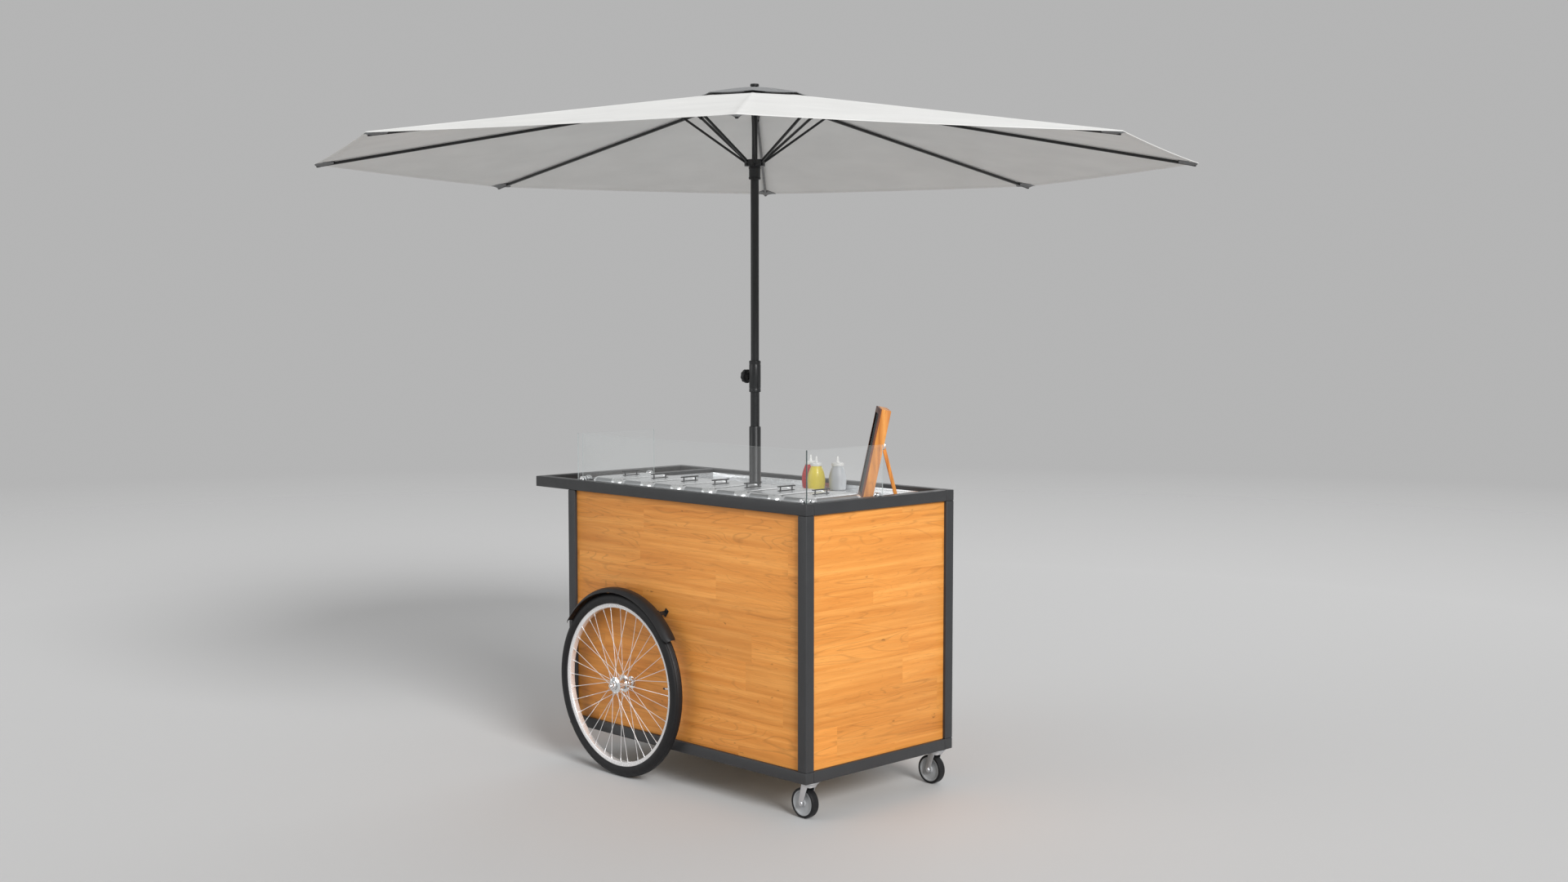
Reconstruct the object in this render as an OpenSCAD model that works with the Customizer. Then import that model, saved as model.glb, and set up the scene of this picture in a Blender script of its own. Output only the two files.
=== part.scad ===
// Push vending cart: a square-tube cabinet on two spoked wheels and two swivel casters,
// with lidded food pans, a glass guard and a folding octagonal umbrella.
// Origin on the floor under the middle of the cabinet, +Z up. +X is the caster end,
// -X the push-handle end, -Y the customer side and +Y the operator side.

/* [Frame] */
// Length of the cabinet frame along X
body_length = 1230; // [1220:1:1240]
// Width of the cabinet frame along Y
body_width = 716; // [710:1:724]
// Height of the top rails above the floor
rail_top = 1023; // [1015:1:1035]
// Height of the frame's underside above the floor
clearance = 123; // [121:1:125]
// Side of the square tube
tube = 38; // [36:1:40]
// Wall of the square tube
tube_wall = 2; // [1.5:0.5:3]
// Reach of the push handle past the cabinet
handle_reach = 195; // [160:5:240]

/* [Cladding] */
// Thickness of the wooden panels
panel = 12; // [10:1:15]
// Depth of the panels behind the tube's outer face
recess = 11; // [8:1:12]
// Height of the shelf's top above the floor
shelf_top = 560; // [520:10:600]
// Width of the rear door
door_width = 474; // [440:2:480]

/* [Counter] */
// Depth of the worktop below the rail tops
counter_drop = 31; // [29:1:33]
// Number of lidded pans in the row
pans = 7; // [7]
// Spacing of the pans along X
pan_pitch = 163; // [162.5:0.1:163.5]
// Depth of a pan
pan_depth = 150; // [100:10:160]
// Size of a lid along Y
lid_length = 263; // [255:1:264]
// Height of a lid above its pan's flange
lid_rise = 41; // [36:1:44]
// Height of the glass guard above the rails
glass_rise = 170; // [140:5:200]
// Thickness of the glass
glass = 6; // [5:0.5:8]

/* [Umbrella] */
// Distance from the pole to a corner of the canopy
canopy_r = 1545; // [1500:5:1560]
// Height of the canopy's peak, if it ran on to the pole
apex = 2400; // [2380:5:2420]
// Height lost from the peak to the canopy's corners
canopy_fall = 252; // [240:2:260]
// Radius of the upper pole
pole_r = 14.5; // [14:0.1:14.8]
// Distance out along the ribs to the strut pivots
strut_reach = 300; // [280:5:320]

/* [Wheels] */
// Outer radius of the tyres
wheel_r = 324; // [320:1:326]
// Place of the axle along X
axle_x = -270; // [-275:1:-260]
// Distance from the middle of the cart to a wheel's middle plane
wheel_y = 399.7; // [398:0.1:404]
// Number of spokes in a wheel
spokes = 36; // [24:4:36]
// Radius of the axle
axle_r = 7.5; // [6:0.5:8]
// Radius of a caster's wheel
caster_r = 50; // [48:1:51]
// Place of the casters' swivel axes along X
caster_x = 583; // [575:1:585]
// Distance a caster's wheel trails behind its swivel axis
caster_trail = 20; // [18:1:24]

/* [Hidden] */
$fn = 48;
fit = 0.1;
gap = 0.3;
half_l = body_length / 2;
half_w = body_width / 2;
in_l = half_l - tube;
in_w = half_w - tube;
rail_low = rail_top - tube;
sill = clearance + tube;
counter_z = rail_top - counter_drop;
sheet = 2;
panel_out = half_w - recess;
end_out = half_l - recess;
floor_t = 12;
shelf_t = 16;
pan_wall = 1.5;
pan_open = [137, 239];
pan_y = -170;
flange_t = 2;
lid_w = pan_pitch - 2;
lid_wall = 1.2;
lid_z = counter_z + flange_t + gap;
lid_skirt = 17;
lid_taper = 14;
lid_x = [for (i = [0:pans - 1]) in_l - pan_pitch * (pans - i - 0.5)];
well_x = in_l - pan_pitch * pans / 2;
well_l = pan_pitch * (pans - 1) + pan_open[0] + 8;
guard_y = -half_w + tube / 2;
guard_x = half_l - tube / 2;
guard_end = 17;
pane_gap = 1;
guard_left = -in_l + glass / 2;
clip_r = 11;
clip_t = 5;
fall_slope = canopy_fall / canopy_r;
fall_angle = atan(fall_slope);
cloth_t = 2;
cloth_hole = 120;
rib_w = 10;
rib_h = 12;
rib_wall = 1.2;
rib_pin_r = 28;
rib_drop = cloth_t + 1.5 + rib_h / 2;
rib_z = apex - fall_slope * rib_pin_r - rib_drop / cos(fall_angle);
rib_length = (canopy_r - rib_pin_r) / cos(fall_angle) - 8;
rib_root = 24;
tongue_t = 4;
pin_r = 1.5;
runner_r = 20;
runner_low = 2092;
hub_pin_r = 30;
hub_pin_z = 2150;
strut_x = strut_reach - hub_pin_r;
strut_z = rib_z - fall_slope * (strut_reach - rib_pin_r) - hub_pin_z;
strut_length = sqrt(strut_x * strut_x + strut_z * strut_z);
strut_angle = atan(strut_z / strut_x);
strut_w = 8;
ear_t = 2;
ear_y = rib_w / 2 + 0.8;
ear_from = strut_length - 30;
crown_z = rib_z - 14;
crown_h = 25;
crown_r = 38;
stud_r = 5;
cap_r = 210;
cap_z = apex - fall_slope * cap_r + 5;
cap_top = apex + 13;
socket_r = 20.5;
socket_flange_r = 38;
socket_top = 1228;
lower_r = 16;
lower_bore = pole_r + fit;
lower_top = 1460;
collar_low = 1349;
base_z = sill + 4;
upper_low = 900;
step_z = 2125;
top_pole_r = 10;
knob_z = 1404;
screw_r = 3;
rim_out = 287;
rim_in = 272;
rim_w = 23;
tyre_mid = 302.3;
hub_r = 29.5;
hub_half = 30;
flange_y = 20.75;
spoke_r = 1.1;
spoke_twist = 24;
spoke_shift = 1.4;
guard_r = 344;
guard_half = 28;
guard_t = 1.5;
guard_arc_r = 32.5;
guard_from = 34;
tab_angles = [55, 125];
caster_y = 309.5;
plate_r = 32;
plate_t = 5;
king_r = 6;
fork_top = clearance - plate_t - 0.5;
fork_t = 11;
fork_half = 17.5;
caster_w = 28;
caster_core = 42;
caster_pin = 5;
board = [38, 230, 316];
board_at = [530, -23];
board_turn = 45.8;
board_lean = 11.83;
board_foot = 39.3;
leg_s = 190;
leg_out = 7;
leg_w = 24;
leg_t = 12;
leg_length = 184;
leg_lean = 14.34;
door_t = 16;
door_gap = 3;
door_x = in_l - door_gap;
hinge_r = 5;
hinge_x = in_l - hinge_r - 0.5;
hinge_y = panel_out + hinge_r;
hinge_z = [300, 850];
rear_post_x = door_x - door_width - door_gap - tube;

// ---------- shared shapes ----------

// A square tube of the given length along +X, open at both ends
module tube_x(length) {
    difference() {
        cube([length, tube, tube]);
        translate([-1, tube_wall, tube_wall])
            cube([length + 2, tube - 2 * tube_wall, tube - 2 * tube_wall]);
    }
}

// A square tube along X that is closed by a cap at each end, with a drain hole underneath
module capped_tube(x, y, z, length) {
    translate([x, y, z])
        difference() {
            cube([length, tube, tube]);
            translate([tube_wall, tube_wall, tube_wall])
                cube([length - 2 * tube_wall, tube - 2 * tube_wall, tube - 2 * tube_wall]);
            translate([length / 2, tube / 2, -1])
                cylinder(h = tube_wall + 2, r = 3);
        }
}

// A square tube along Y between the side rails
module cross_tube(x, z) {
    translate([x + tube, -in_w, z])
        rotate([0, 0, 90])
            tube_x(2 * in_w);
}

// An upright square tube between the bottom and top rails
module post(x, y) {
    translate([x, y, sill])
        difference() {
            cube([tube, tube, rail_low - sill]);
            translate([tube_wall, tube_wall, -1])
                cube([tube - 2 * tube_wall, tube - 2 * tube_wall, rail_low - sill + 2]);
        }
}

// A box centred on x and y, standing on z
module slab(size, at) {
    translate([at[0] - size[0] / 2, at[1] - size[1] / 2, at[2]])
        cube(size);
}

// A cylinder along +Y that starts at y = 0
module rod_y(length, r) {
    rotate([-90, 0, 0])
        cylinder(h = length, r = r);
}

// Draws its children on the front side and mirrored on the rear side
module both_sides() {
    children();
    mirror([0, 1, 0])
        children();
}

// Draws its children on the front side, or mirrored on the rear side
module on_side(rear) {
    mirror([0, rear ? 1 : 0, 0])
        children();
}

// ---------- frame and cladding ----------

module side_rails() {
    long = body_length + handle_reach;
    color("#333436")
        both_sides() {
            capped_tube(half_l - long, -half_w, rail_low, long);
            capped_tube(-half_l, -half_w, clearance, body_length);
        }
}

module cross_rails() {
    color("#333436") {
        cross_tube(in_l, rail_low);
        cross_tube(-half_l, rail_low);
        cross_tube(-half_l - handle_reach, rail_low);
        cross_tube(in_l, clearance);
        cross_tube(-half_l, clearance);
    }
}

module frame_posts() {
    color("#333436") {
        both_sides() {
            post(in_l, -half_w);
            post(-half_l, -half_w);
        }
        post(rear_post_x, in_w);
    }
}

module front_panel() {
    color("#cd853f")
        difference() {
            translate([-in_l, -panel_out, sill])
                cube([2 * in_l, panel, rail_low - sill]);
            translate([axle_x, -panel_out - 1, wheel_r])
                rod_y(panel + 2, axle_r + 1);
        }
}

module end_panels() {
    color("#cd853f")
        for (x = [-end_out, end_out - panel])
            translate([x, -in_w, sill])
                cube([panel, 2 * in_w, rail_low - sill]);
}

module rear_panel() {
    color("#cd853f")
        difference() {
            translate([-in_l, panel_out - panel, sill])
                cube([rear_post_x + in_l, panel, rail_low - sill]);
            translate([axle_x, panel_out - panel - 1, wheel_r])
                rod_y(panel + 2, axle_r + 1);
        }
}

module cabinet_shelves() {
    depth = 2 * in_w;
    span = 2 * (end_out - panel);
    color("#d9b98a") {
        slab([2 * in_l, depth, floor_t], [0, 0, sill - floor_t]);
        difference() {
            slab([span, depth, shelf_t], [0, 0, shelf_top - shelf_t]);
            translate([0, 0, shelf_top - shelf_t - 1])
                cylinder(h = shelf_t + 2, r = lower_r + 2);
        }
        for (x = [-span / 2 + 10, span / 2 - 10])
            slab([20, depth - 60, 20], [x, 0, shelf_top - shelf_t - gap - 20]);
    }
}

module rear_door() {
    height = rail_low - sill - 2 * door_gap;
    color("#cd853f")
        difference() {
            union() {
                translate([door_x - door_width, panel_out - door_t, sill + door_gap])
                    cube([door_width, door_t, height]);
                translate([door_x - door_width + 30, panel_out, 640])
                    door_pull();
                for (z = hinge_z)
                    translate([hinge_x, hinge_y, z])
                        door_knuckle();
            }
            for (z = hinge_z)
                translate([hinge_x, hinge_y, z - 41])
                    cylinder(h = 82, r = 2.5 + fit);
            for (z = hinge_z)
                for (end = [-40, 20])
                    translate([hinge_x - hinge_r - 1, panel_out - 6, z + end - gap])
                        cube([20, 20, 20 + 2 * gap]);
        }
}

// A bow handle with two posts
module door_pull() {
    for (z = [0, 128])
        translate([0, 0, z])
            rod_y(26, 4);
    translate([0, 26, -10])
        cylinder(h = 148, r = 5);
}

// The door's half of a butt hinge: one knuckle and its web
module door_knuckle() {
    translate([0, 0, -20 + gap])
        cylinder(h = 40 - 2 * gap, r = hinge_r);
    translate([-8, -7, -20 + gap])
        cube([8, 7, 40 - 2 * gap]);
}

module door_hinges() {
    color("#9a9da0")
        for (z = hinge_z)
            translate([hinge_x, hinge_y, z]) {
                cylinder(h = 80, r = 2.5, center = true);
                for (end = [-40, 20])
                    translate([0, 0, end]) {
                        cylinder(h = 20, r = hinge_r);
                        translate([0, -1.5, 0])
                            cube([in_l - hinge_x, 3, 20]);
                    }
            }
}

// ---------- counter ----------

module worktop() {
    color("#c4c6c8")
        difference() {
            slab([2 * in_l, 2 * in_w, sheet], [0, 0, counter_z - sheet]);
            slab([well_l, pan_open[1] + 8, sheet + 2], [well_x, pan_y, counter_z - sheet - 1]);
            translate([0, 0, counter_z - sheet - 1])
                cylinder(h = sheet + 2, r = socket_r + fit);
        }
}

module food_pans() {
    color("#b9bcbf")
        for (x = lid_x)
            difference() {
                union() {
                    slab([lid_w, lid_length, flange_t], [x, pan_y, counter_z]);
                    slab([pan_open[0] + 2 * pan_wall, pan_open[1] + 2 * pan_wall, pan_depth],
                         [x, pan_y, counter_z - pan_depth]);
                }
                slab([pan_open[0], pan_open[1], pan_depth + 10],
                     [x, pan_y, counter_z - pan_depth + pan_wall]);
            }
}

// A block with an upright skirt and a sloped shoulder under a flat top
module lid_block(inset, drop) {
    size = [lid_w - 2 * inset, lid_length - 2 * inset];
    top = lid_rise - drop;
    skirt = lid_skirt - drop / 2;
    slab([size[0], size[1], skirt], [0, 0, 0]);
    hull() {
        slab([size[0], size[1], 1], [0, 0, skirt - 1]);
        slab([size[0] - 2 * lid_taper, size[1] - 2 * lid_taper, 1], [0, 0, top - 1]);
    }
}

// A bar along Y on two posts
module lid_handle() {
    for (y = [-27, 27])
        translate([0, y, -0.5])
            cylinder(h = 15, r = 2);
    slab([4, 80, 4], [0, 0, 13]);
}

module lid(i) {
    color("#a9abad")
        translate([lid_x[i - 1], pan_y, lid_z]) {
            difference() {
                lid_block(0, 0);
                translate([0, 0, -1])
                    lid_block(lid_wall, lid_wall - 1);
            }
            translate([0, 0, lid_rise])
                lid_handle();
        }
}

// Two panes along the right and left ends, and one along the front
module glass_panels() {
    front_low = guard_left - glass / 2;
    color("#dfeaee80") {
        translate([front_low, guard_y - glass / 2, rail_top])
            cube([guard_x + glass / 2 - front_low, glass, glass_rise]);
        translate([guard_x - glass / 2, guard_y + glass / 2 + pane_gap, rail_top])
            cube([glass, guard_end - guard_y - glass / 2 - pane_gap, glass_rise]);
        translate([guard_left - glass / 2, guard_y + tube / 2, counter_z])
            cube([glass, guard_end - guard_y - tube / 2, rail_top + glass_rise - counter_z]);
    }
}

// A half-round clip, on both faces of a pane that runs along X, standing on z = 0
module clip() {
    for (side = [-1, 1])
        translate([0, side * (glass + clip_t) / 2, 0])
            intersection() {
                translate([0, -clip_t / 2, 3])
                    rod_y(clip_t, clip_r);
                slab([3 * clip_r, 2 * clip_t, 3 * clip_r], [0, 0, 0]);
            }
}

module glass_clamps() {
    color("#d8d8d8") {
        for (x = [guard_x - 18, guard_left + 24])
            translate([x, guard_y, rail_top])
                clip();
        for (y = [guard_y + 30, guard_end - 22])
            translate([guard_x, y, rail_top])
                rotate([0, 0, 90])
                    clip();
        for (y = [guard_y + 45, guard_end - 22])
            translate([guard_left, y, rail_top])
                rotate([0, 0, 90])
                    clip();
    }
}

// ---------- umbrella ----------

module umbrella_socket() {
    color("#26282a")
        difference() {
            union() {
                translate([0, 0, counter_z - 142])
                    cylinder(h = socket_top - counter_z + 142, r = socket_r);
                translate([0, 0, counter_z])
                    cylinder(h = 4, r = socket_flange_r);
            }
            translate([0, 0, counter_z - 150])
                cylinder(h = 500, r = lower_r + fit);
        }
    color("#26282a")
        difference() {
            union() {
                translate([0, 0, sill])
                    cylinder(h = 70, r = 24);
                translate([0, 0, sill])
                    cylinder(h = 4, r = 55);
            }
            translate([0, 0, base_z])
                cylinder(h = 80, r = lower_r + fit);
        }
}

module pole_lower() {
    color("#2c2e30")
        difference() {
            union() {
                translate([0, 0, base_z])
                    cylinder(h = lower_top - base_z, r = lower_r);
                translate([0, 0, collar_low])
                    cylinder(h = lower_top - collar_low, r = socket_r);
            }
            translate([0, 0, base_z - 1])
                cylinder(h = lower_top - base_z + 2, r = lower_bore);
            translate([-30, 0, knob_z])
                rotate([0, 90, 0])
                    cylinder(h = 30, r = screw_r + fit);
        }
}

module collar_knob() {
    color("#1d1e1f")
        translate([0, 0, knob_z])
            rotate([0, -90, 0]) {
                translate([0, 0, lower_bore + 0.4])
                    cylinder(h = 25, r = screw_r);
                translate([0, 0, 24])
                    cylinder(h = 12, r = 11);
                translate([0, 0, 35])
                    cylinder(h = 16, r = 25);
            }
}

module pole_upper() {
    color("#2c2e30") {
        translate([0, 0, upper_low])
            cylinder(h = step_z - upper_low, r = pole_r);
        translate([0, 0, step_z])
            cylinder(h = crown_z + crown_h - 5 - step_z, r = top_pole_r);
    }
}

// Eight radial slots around the pole, each of the given width, from the radius outwards
module slots(from, width, z, h) {
    for (k = [0:7])
        rotate([0, 0, 45 * k])
            translate([from, -width / 2, z])
                cube([40, width, h]);
}

// Eight hinge pins across the slots
module hinge_pins(radius, z, length) {
    for (k = [0:7])
        rotate([0, 0, 45 * k])
            translate([radius, -length / 2, z])
                rod_y(length, pin_r);
}

module runner() {
    color("#232527")
        difference() {
            union() {
                translate([0, 0, runner_low])
                    cylinder(h = 48, r = runner_r);
                difference() {
                    translate([0, 0, runner_low + 46])
                        cylinder(h = 22, r = 36);
                    slots(21, tongue_t + 1, runner_low + 45, 30);
                }
                hinge_pins(hub_pin_r, hub_pin_z, tongue_t + 2);
            }
            translate([0, 0, runner_low - 1])
                cylinder(h = 90, r = pole_r + fit);
        }
}

module crown() {
    finial_z = cap_top + 1;
    color("#232527")
        difference() {
            union() {
                difference() {
                    translate([0, 0, crown_z])
                        cylinder(h = crown_h, r = crown_r);
                    slots(15, tongue_t + 1, crown_z - 1, crown_h - 2);
                }
                hinge_pins(rib_pin_r, rib_z, tongue_t + 2);
                translate([0, 0, crown_z + crown_h - 1])
                    cylinder(h = finial_z - crown_z - crown_h + 2, r = stud_r);
                translate([0, 0, finial_z])
                    cylinder(h = 8, r = 15);
            }
            translate([0, 0, crown_z - 1])
                cylinder(h = crown_h - 4, r = top_pole_r);
        }
}

// A shallow eight-sided dome with its low corners on the ribs' lines
module eight_cone(r, z, h) {
    translate([0, 0, z])
        cylinder(h = h, r1 = r, r2 = 0.5, $fn = 8);
}

module vent_cap() {
    color("#6b6d6f")
        difference() {
            eight_cone(cap_r, cap_z, cap_top - cap_z);
            eight_cone(cap_r, cap_z - 2.5, cap_top - cap_z);
            translate([0, 0, cap_z - 5])
                cylinder(h = 80, r = stud_r + fit, $fn = 24);
        }
}

module canopy() {
    eave = apex - canopy_fall;
    color("#eceae4")
        difference() {
            eight_cone(canopy_r, eave, canopy_fall);
            eight_cone(canopy_r, eave - cloth_t, canopy_fall);
            translate([0, 0, eave])
                cylinder(h = canopy_fall + 10, r = cloth_hole, $fn = 8);
        }
}

// A folding rib: a tongue on the crown's pin and a thin-walled channel out to the eave
module rib(k) {
    color("#26282a")
        rotate([0, 0, 45 * (k - 1)])
            translate([rib_pin_r, 0, rib_z])
                rotate([0, fall_angle, 0]) {
                    difference() {
                        union() {
                            rotate([90, 0, 0])
                                cylinder(h = tongue_t, r = 4.5, center = true);
                            translate([0, -tongue_t / 2, -4])
                                cube([rib_root + 1, tongue_t, 8]);
                        }
                        rotate([90, 0, 0])
                            cylinder(h = tongue_t + 2, r = pin_r + fit / 2, center = true);
                    }
                    difference() {
                        translate([rib_root, -rib_w / 2, -rib_h / 2])
                            cube([rib_length - rib_root, rib_w, rib_h]);
                        translate([rib_root + 3, -rib_w / 2 + rib_wall, -rib_h / 2 + rib_wall])
                            cube([rib_length, rib_w - 2 * rib_wall, rib_h - 2 * rib_wall]);
                    }
                }
}

// A strut: a tongue on the runner's pin, a square bar, and two ears that flank the rib
module strut(k) {
    color("#26282a")
        rotate([0, 0, 45 * (k - 1)])
            translate([hub_pin_r, 0, hub_pin_z])
                rotate([0, -strut_angle, 0]) {
                    difference() {
                        union() {
                            rotate([90, 0, 0])
                                cylinder(h = tongue_t, r = 4.5, center = true);
                            translate([0, -tongue_t / 2, -4])
                                cube([17, tongue_t, 8]);
                        }
                        rotate([90, 0, 0])
                            cylinder(h = tongue_t + 2, r = pin_r + fit / 2, center = true);
                    }
                    translate([16, -strut_w / 2, -strut_w / 2])
                        cube([ear_from - 14, strut_w, strut_w]);
                    translate([ear_from, -ear_y - ear_t, -strut_w / 2])
                        cube([4, 2 * (ear_y + ear_t), strut_w]);
                    for (y = [-ear_y - ear_t, ear_y])
                        translate([ear_from, y, -strut_w / 2])
                            cube([36, ear_t, strut_w]);
                }
}

// ---------- wheels ----------

module axle() {
    end = wheel_y + 46;
    color("#b4b6b8") {
        translate([axle_x, -end, wheel_r])
            rod_y(2 * end, axle_r);
        both_sides()
            translate([axle_x, -wheel_y, wheel_r]) {
                translate([0, -hub_half - 9.5, 0])
                    rotate([-90, 0, 0])
                        cylinder(h = 9, r = 13, $fn = 6);
                translate([0, hub_half + 0.2, 0])
                    rod_y(wheel_y - hub_half - panel_out - 0.4, 11);
            }
    }
    color("#333436")
        difference() {
            union() {
                both_sides()
                    translate([axle_x - 50, -panel_out + panel + 1, sill])
                        cube([100, 6, wheel_r + 50 - sill]);
                translate([axle_x, -panel_out + panel + 2, wheel_r])
                    rod_y(2 * (panel_out - panel - 2), 14);
            }
            translate([axle_x, -half_w, wheel_r])
                rod_y(body_width, axle_r + fit);
        }
}

// The outline of a tyre: a round section with a flat seat on the rim
module tyre_outline() {
    difference() {
        translate([tyre_mid, 0])
            circle(r = wheel_r - tyre_mid);
        translate([rim_out - 30, -40])
            square([30, 80]);
    }
}

module tyre(rear) {
    color("#1b1c1d")
        on_side(rear)
            translate([axle_x, -wheel_y, wheel_r])
                rotate([90, 0, 0])
                    rotate_extrude($fn = 96)
                        tyre_outline();
}

// Outline of half the rim, as [radius, offset] corners
module rim_outline() {
    lip = rim_w / 2;
    polygon([[rim_in, -7], [rim_in + 5, -lip], [rim_out, -lip],
             [rim_out, lip], [rim_in + 5, lip], [rim_in, 7]]);
}

// Outline of half the hub: a barrel between two spoke flanges
module hub_outline() {
    bore = axle_r + fit / 2;
    polygon([[bore, -hub_half], [15, -hub_half], [17, -24], [hub_r, -22.5], [hub_r, -19],
             [17, -15], [17, 15], [hub_r, 19], [hub_r, 22.5], [17, 24], [15, hub_half],
             [bore, hub_half]]);
}

// A straight rod between two points
module rod(from, to, r) {
    d = to - from;
    translate(from)
        rotate([0, acos(d[2] / norm(d)), atan2(d[1], d[0])])
            cylinder(h = norm(d), r = r, $fn = 16);
}

module wheel(rear) {
    color("#d4d6d8")
        on_side(rear)
            translate([axle_x, -wheel_y, wheel_r])
                rotate([90, 0, 0]) {
                    rotate_extrude($fn = 96)
                        rim_outline();
                    rotate_extrude($fn = 48)
                        hub_outline();
                    for (i = [0:spokes - 1]) {
                        a = i * 360 / spokes;
                        side = i % 2 == 0 ? 1 : -1;
                        lean = floor(i / 2) % 2 == 0 ? 1 : -1;
                        twisted = a + lean * spoke_twist;
                        rod([(hub_r + 1.5) * cos(twisted), (hub_r + 1.5) * sin(twisted),
                             side * (flange_y + lean * spoke_shift)],
                            [(rim_in - 1) * cos(a), (rim_in - 1) * sin(a),
                             side * (3 + lean * spoke_shift)], spoke_r);
                    }
                }
}

// Outline of the mudguard: a thin strip with a round section that opens towards the tyre
module guard_outline() {
    centre = guard_r - guard_arc_r;
    intersection() {
        difference() {
            translate([centre, 0])
                circle(r = guard_arc_r);
            translate([centre, 0])
                circle(r = guard_arc_r - guard_t);
        }
        translate([centre + 10, -guard_half])
            square([40, 2 * guard_half]);
    }
}

module mudguards() {
    color("#232425")
        both_sides()
            translate([axle_x, -wheel_y, wheel_r])
                rotate([90, 0, 0]) {
                    rotate([0, 0, guard_from])
                        rotate_extrude(angle = 180 - 2 * guard_from, $fn = 96)
                            guard_outline();
                    for (a = tab_angles)
                        rotate([0, 0, a]) {
                            translate([330, -10, -(wheel_y - panel_out)])
                                cube([3, 20, wheel_y - panel_out - guard_half + 3]);
                            translate([316, -10, -(wheel_y - panel_out)])
                                cube([30, 20, 2]);
                        }
                }
}

module caster_plates() {
    color("#c0c2c4")
        both_sides()
            translate([caster_x, -caster_y, 0]) {
                translate([0, 0, clearance - plate_t])
                    cylinder(h = plate_t, r = plate_r);
                translate([0, 0, fork_top - fork_t - 4])
                    cylinder(h = fork_t + 6, r = king_r);
                translate([0, 0, fork_top - fork_t - 5])
                    cylinder(h = 4.5, r = 9);
            }
}

// Side of a fork leg, from the crown down to the axle
module leg_outline() {
    low = [-caster_trail, caster_r];
    polygon([[-24, fork_top - 1], [24, fork_top - 1], [low[0] + 11, low[1] + 4],
             [low[0] + 8, low[1] - 8], [low[0] - 8, low[1] - 8], [low[0] - 11, low[1] + 4]]);
}

module caster_fork(rear) {
    color("#c0c2c4")
        on_side(rear)
            translate([caster_x, -caster_y, 0]) {
                difference() {
                    translate([0, 0, fork_top - fork_t])
                        cylinder(h = fork_t, r = 26);
                    translate([0, 0, fork_top - fork_t - 1])
                        cylinder(h = fork_t + 2, r = king_r + fit / 2);
                    translate([0, 0, fork_top - fork_t - 1])
                        cylinder(h = fork_t - 3, r = 22);
                }
                for (y = [-fork_half - 3, fork_half])
                    translate([0, y + 3, 0])
                        rotate([90, 0, 0])
                            linear_extrude(height = 3)
                                leg_outline();
                translate([-caster_trail, -fork_half - 6, caster_r])
                    rod_y(2 * fork_half + 12, caster_pin);
            }
}

module caster_wheel(rear) {
    color("#8f9294")
        on_side(rear)
            translate([caster_x - caster_trail, -caster_y, caster_r])
                rotate([90, 0, 0]) {
                    difference() {
                        cylinder(h = caster_w, r = caster_core, center = true);
                        cylinder(h = caster_w + 2, r = caster_pin + fit / 2, center = true);
                    }
                    difference() {
                        cylinder(h = caster_w, r = caster_r, center = true);
                        cylinder(h = caster_w + 2, r = caster_core + 0.01, center = true);
                    }
                }
}

// ---------- things on the counter ----------

// Places its children in the menu board's leaning frame, back face at x = 0
module on_board() {
    translate([board_at[0], board_at[1], counter_z + 0.2])
        rotate([0, 0, board_turn])
            translate([board_foot, 0, 0])
                rotate([0, board_lean, 0])
                    children();
}

module menu_board() {
    color("#c98a45")
        on_board() {
            difference() {
                translate([-board[0], 0, 0])
                    cube(board);
                translate([-board[0] - 1, 20, 20])
                    cube([7, board[1] - 40, board[2] - 40]);
            }
            for (y = [-leg_w / 2 - 4.5, leg_w / 2 + 0.5])
                translate([0, board[1] / 2 + y, leg_s - 8])
                    cube([leg_out + 5, 4, 16]);
            translate([leg_out, board[1] / 2 - leg_w / 2 - 3, leg_s])
                rod_y(leg_w + 6, 2);
        }
}

module board_leg() {
    color("#c98a45")
        on_board()
            translate([leg_out, board[1] / 2, leg_s])
                rotate([0, 180 - board_lean - leg_lean, 0])
                    difference() {
                        union() {
                            translate([0, -leg_w / 2, 0])
                                rod_y(leg_w, leg_t / 2);
                            translate([-leg_t / 2, -leg_w / 2, 0])
                                cube([leg_t, leg_w, leg_length]);
                        }
                        translate([0, -leg_w, 0])
                            rod_y(2 * leg_w, 2 + fit / 2);
                    }
}

// Outline of half a squeeze bottle
module bottle_outline() {
    polygon([[0, 0], [26, 0], [29, 3], [31.5, 20], [32, 36], [30, 54], [25, 72], [21, 82],
             [20, 88], [0, 88]]);
}

module bottle(x, y) {
    translate([x, y, counter_z + 0.2]) {
        rotate_extrude()
            bottle_outline();
        translate([0, 0, 88])
            cylinder(h = 11, r = 22);
        translate([0, 0, 99])
            cylinder(h = 23, r1 = 5.5, r2 = 2.5);
    }
}

side_rails();
cross_rails();
frame_posts();
front_panel();
end_panels();
rear_panel();
cabinet_shelves();
rear_door();
door_hinges();
worktop();
food_pans();
for (i = [1:pans])
    lid(i);
glass_panels();
glass_clamps();
umbrella_socket();
pole_lower();
collar_knob();
pole_upper();
runner();
crown();
vent_cap();
canopy();
for (k = [1:8])
    rib(k);
for (k = [1:8])
    strut(k);
axle();
tyre(false);  // tyre_front
tyre(true);  // tyre_rear
wheel(false);  // wheel_front
wheel(true);  // wheel_rear
mudguards();
caster_plates();
caster_fork(false);  // caster_fork_front
caster_fork(true);  // caster_fork_rear
caster_wheel(false);  // caster_wheel_front
caster_wheel(true);  // caster_wheel_rear
menu_board();
board_leg();
color("#d02022") bottle(13, 265);  // bottle_red
color("#e8d21c") bottle(79, 228);  // bottle_yellow
color("#b8bcc0") bottle(132, 283);  // bottle_clear
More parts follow.
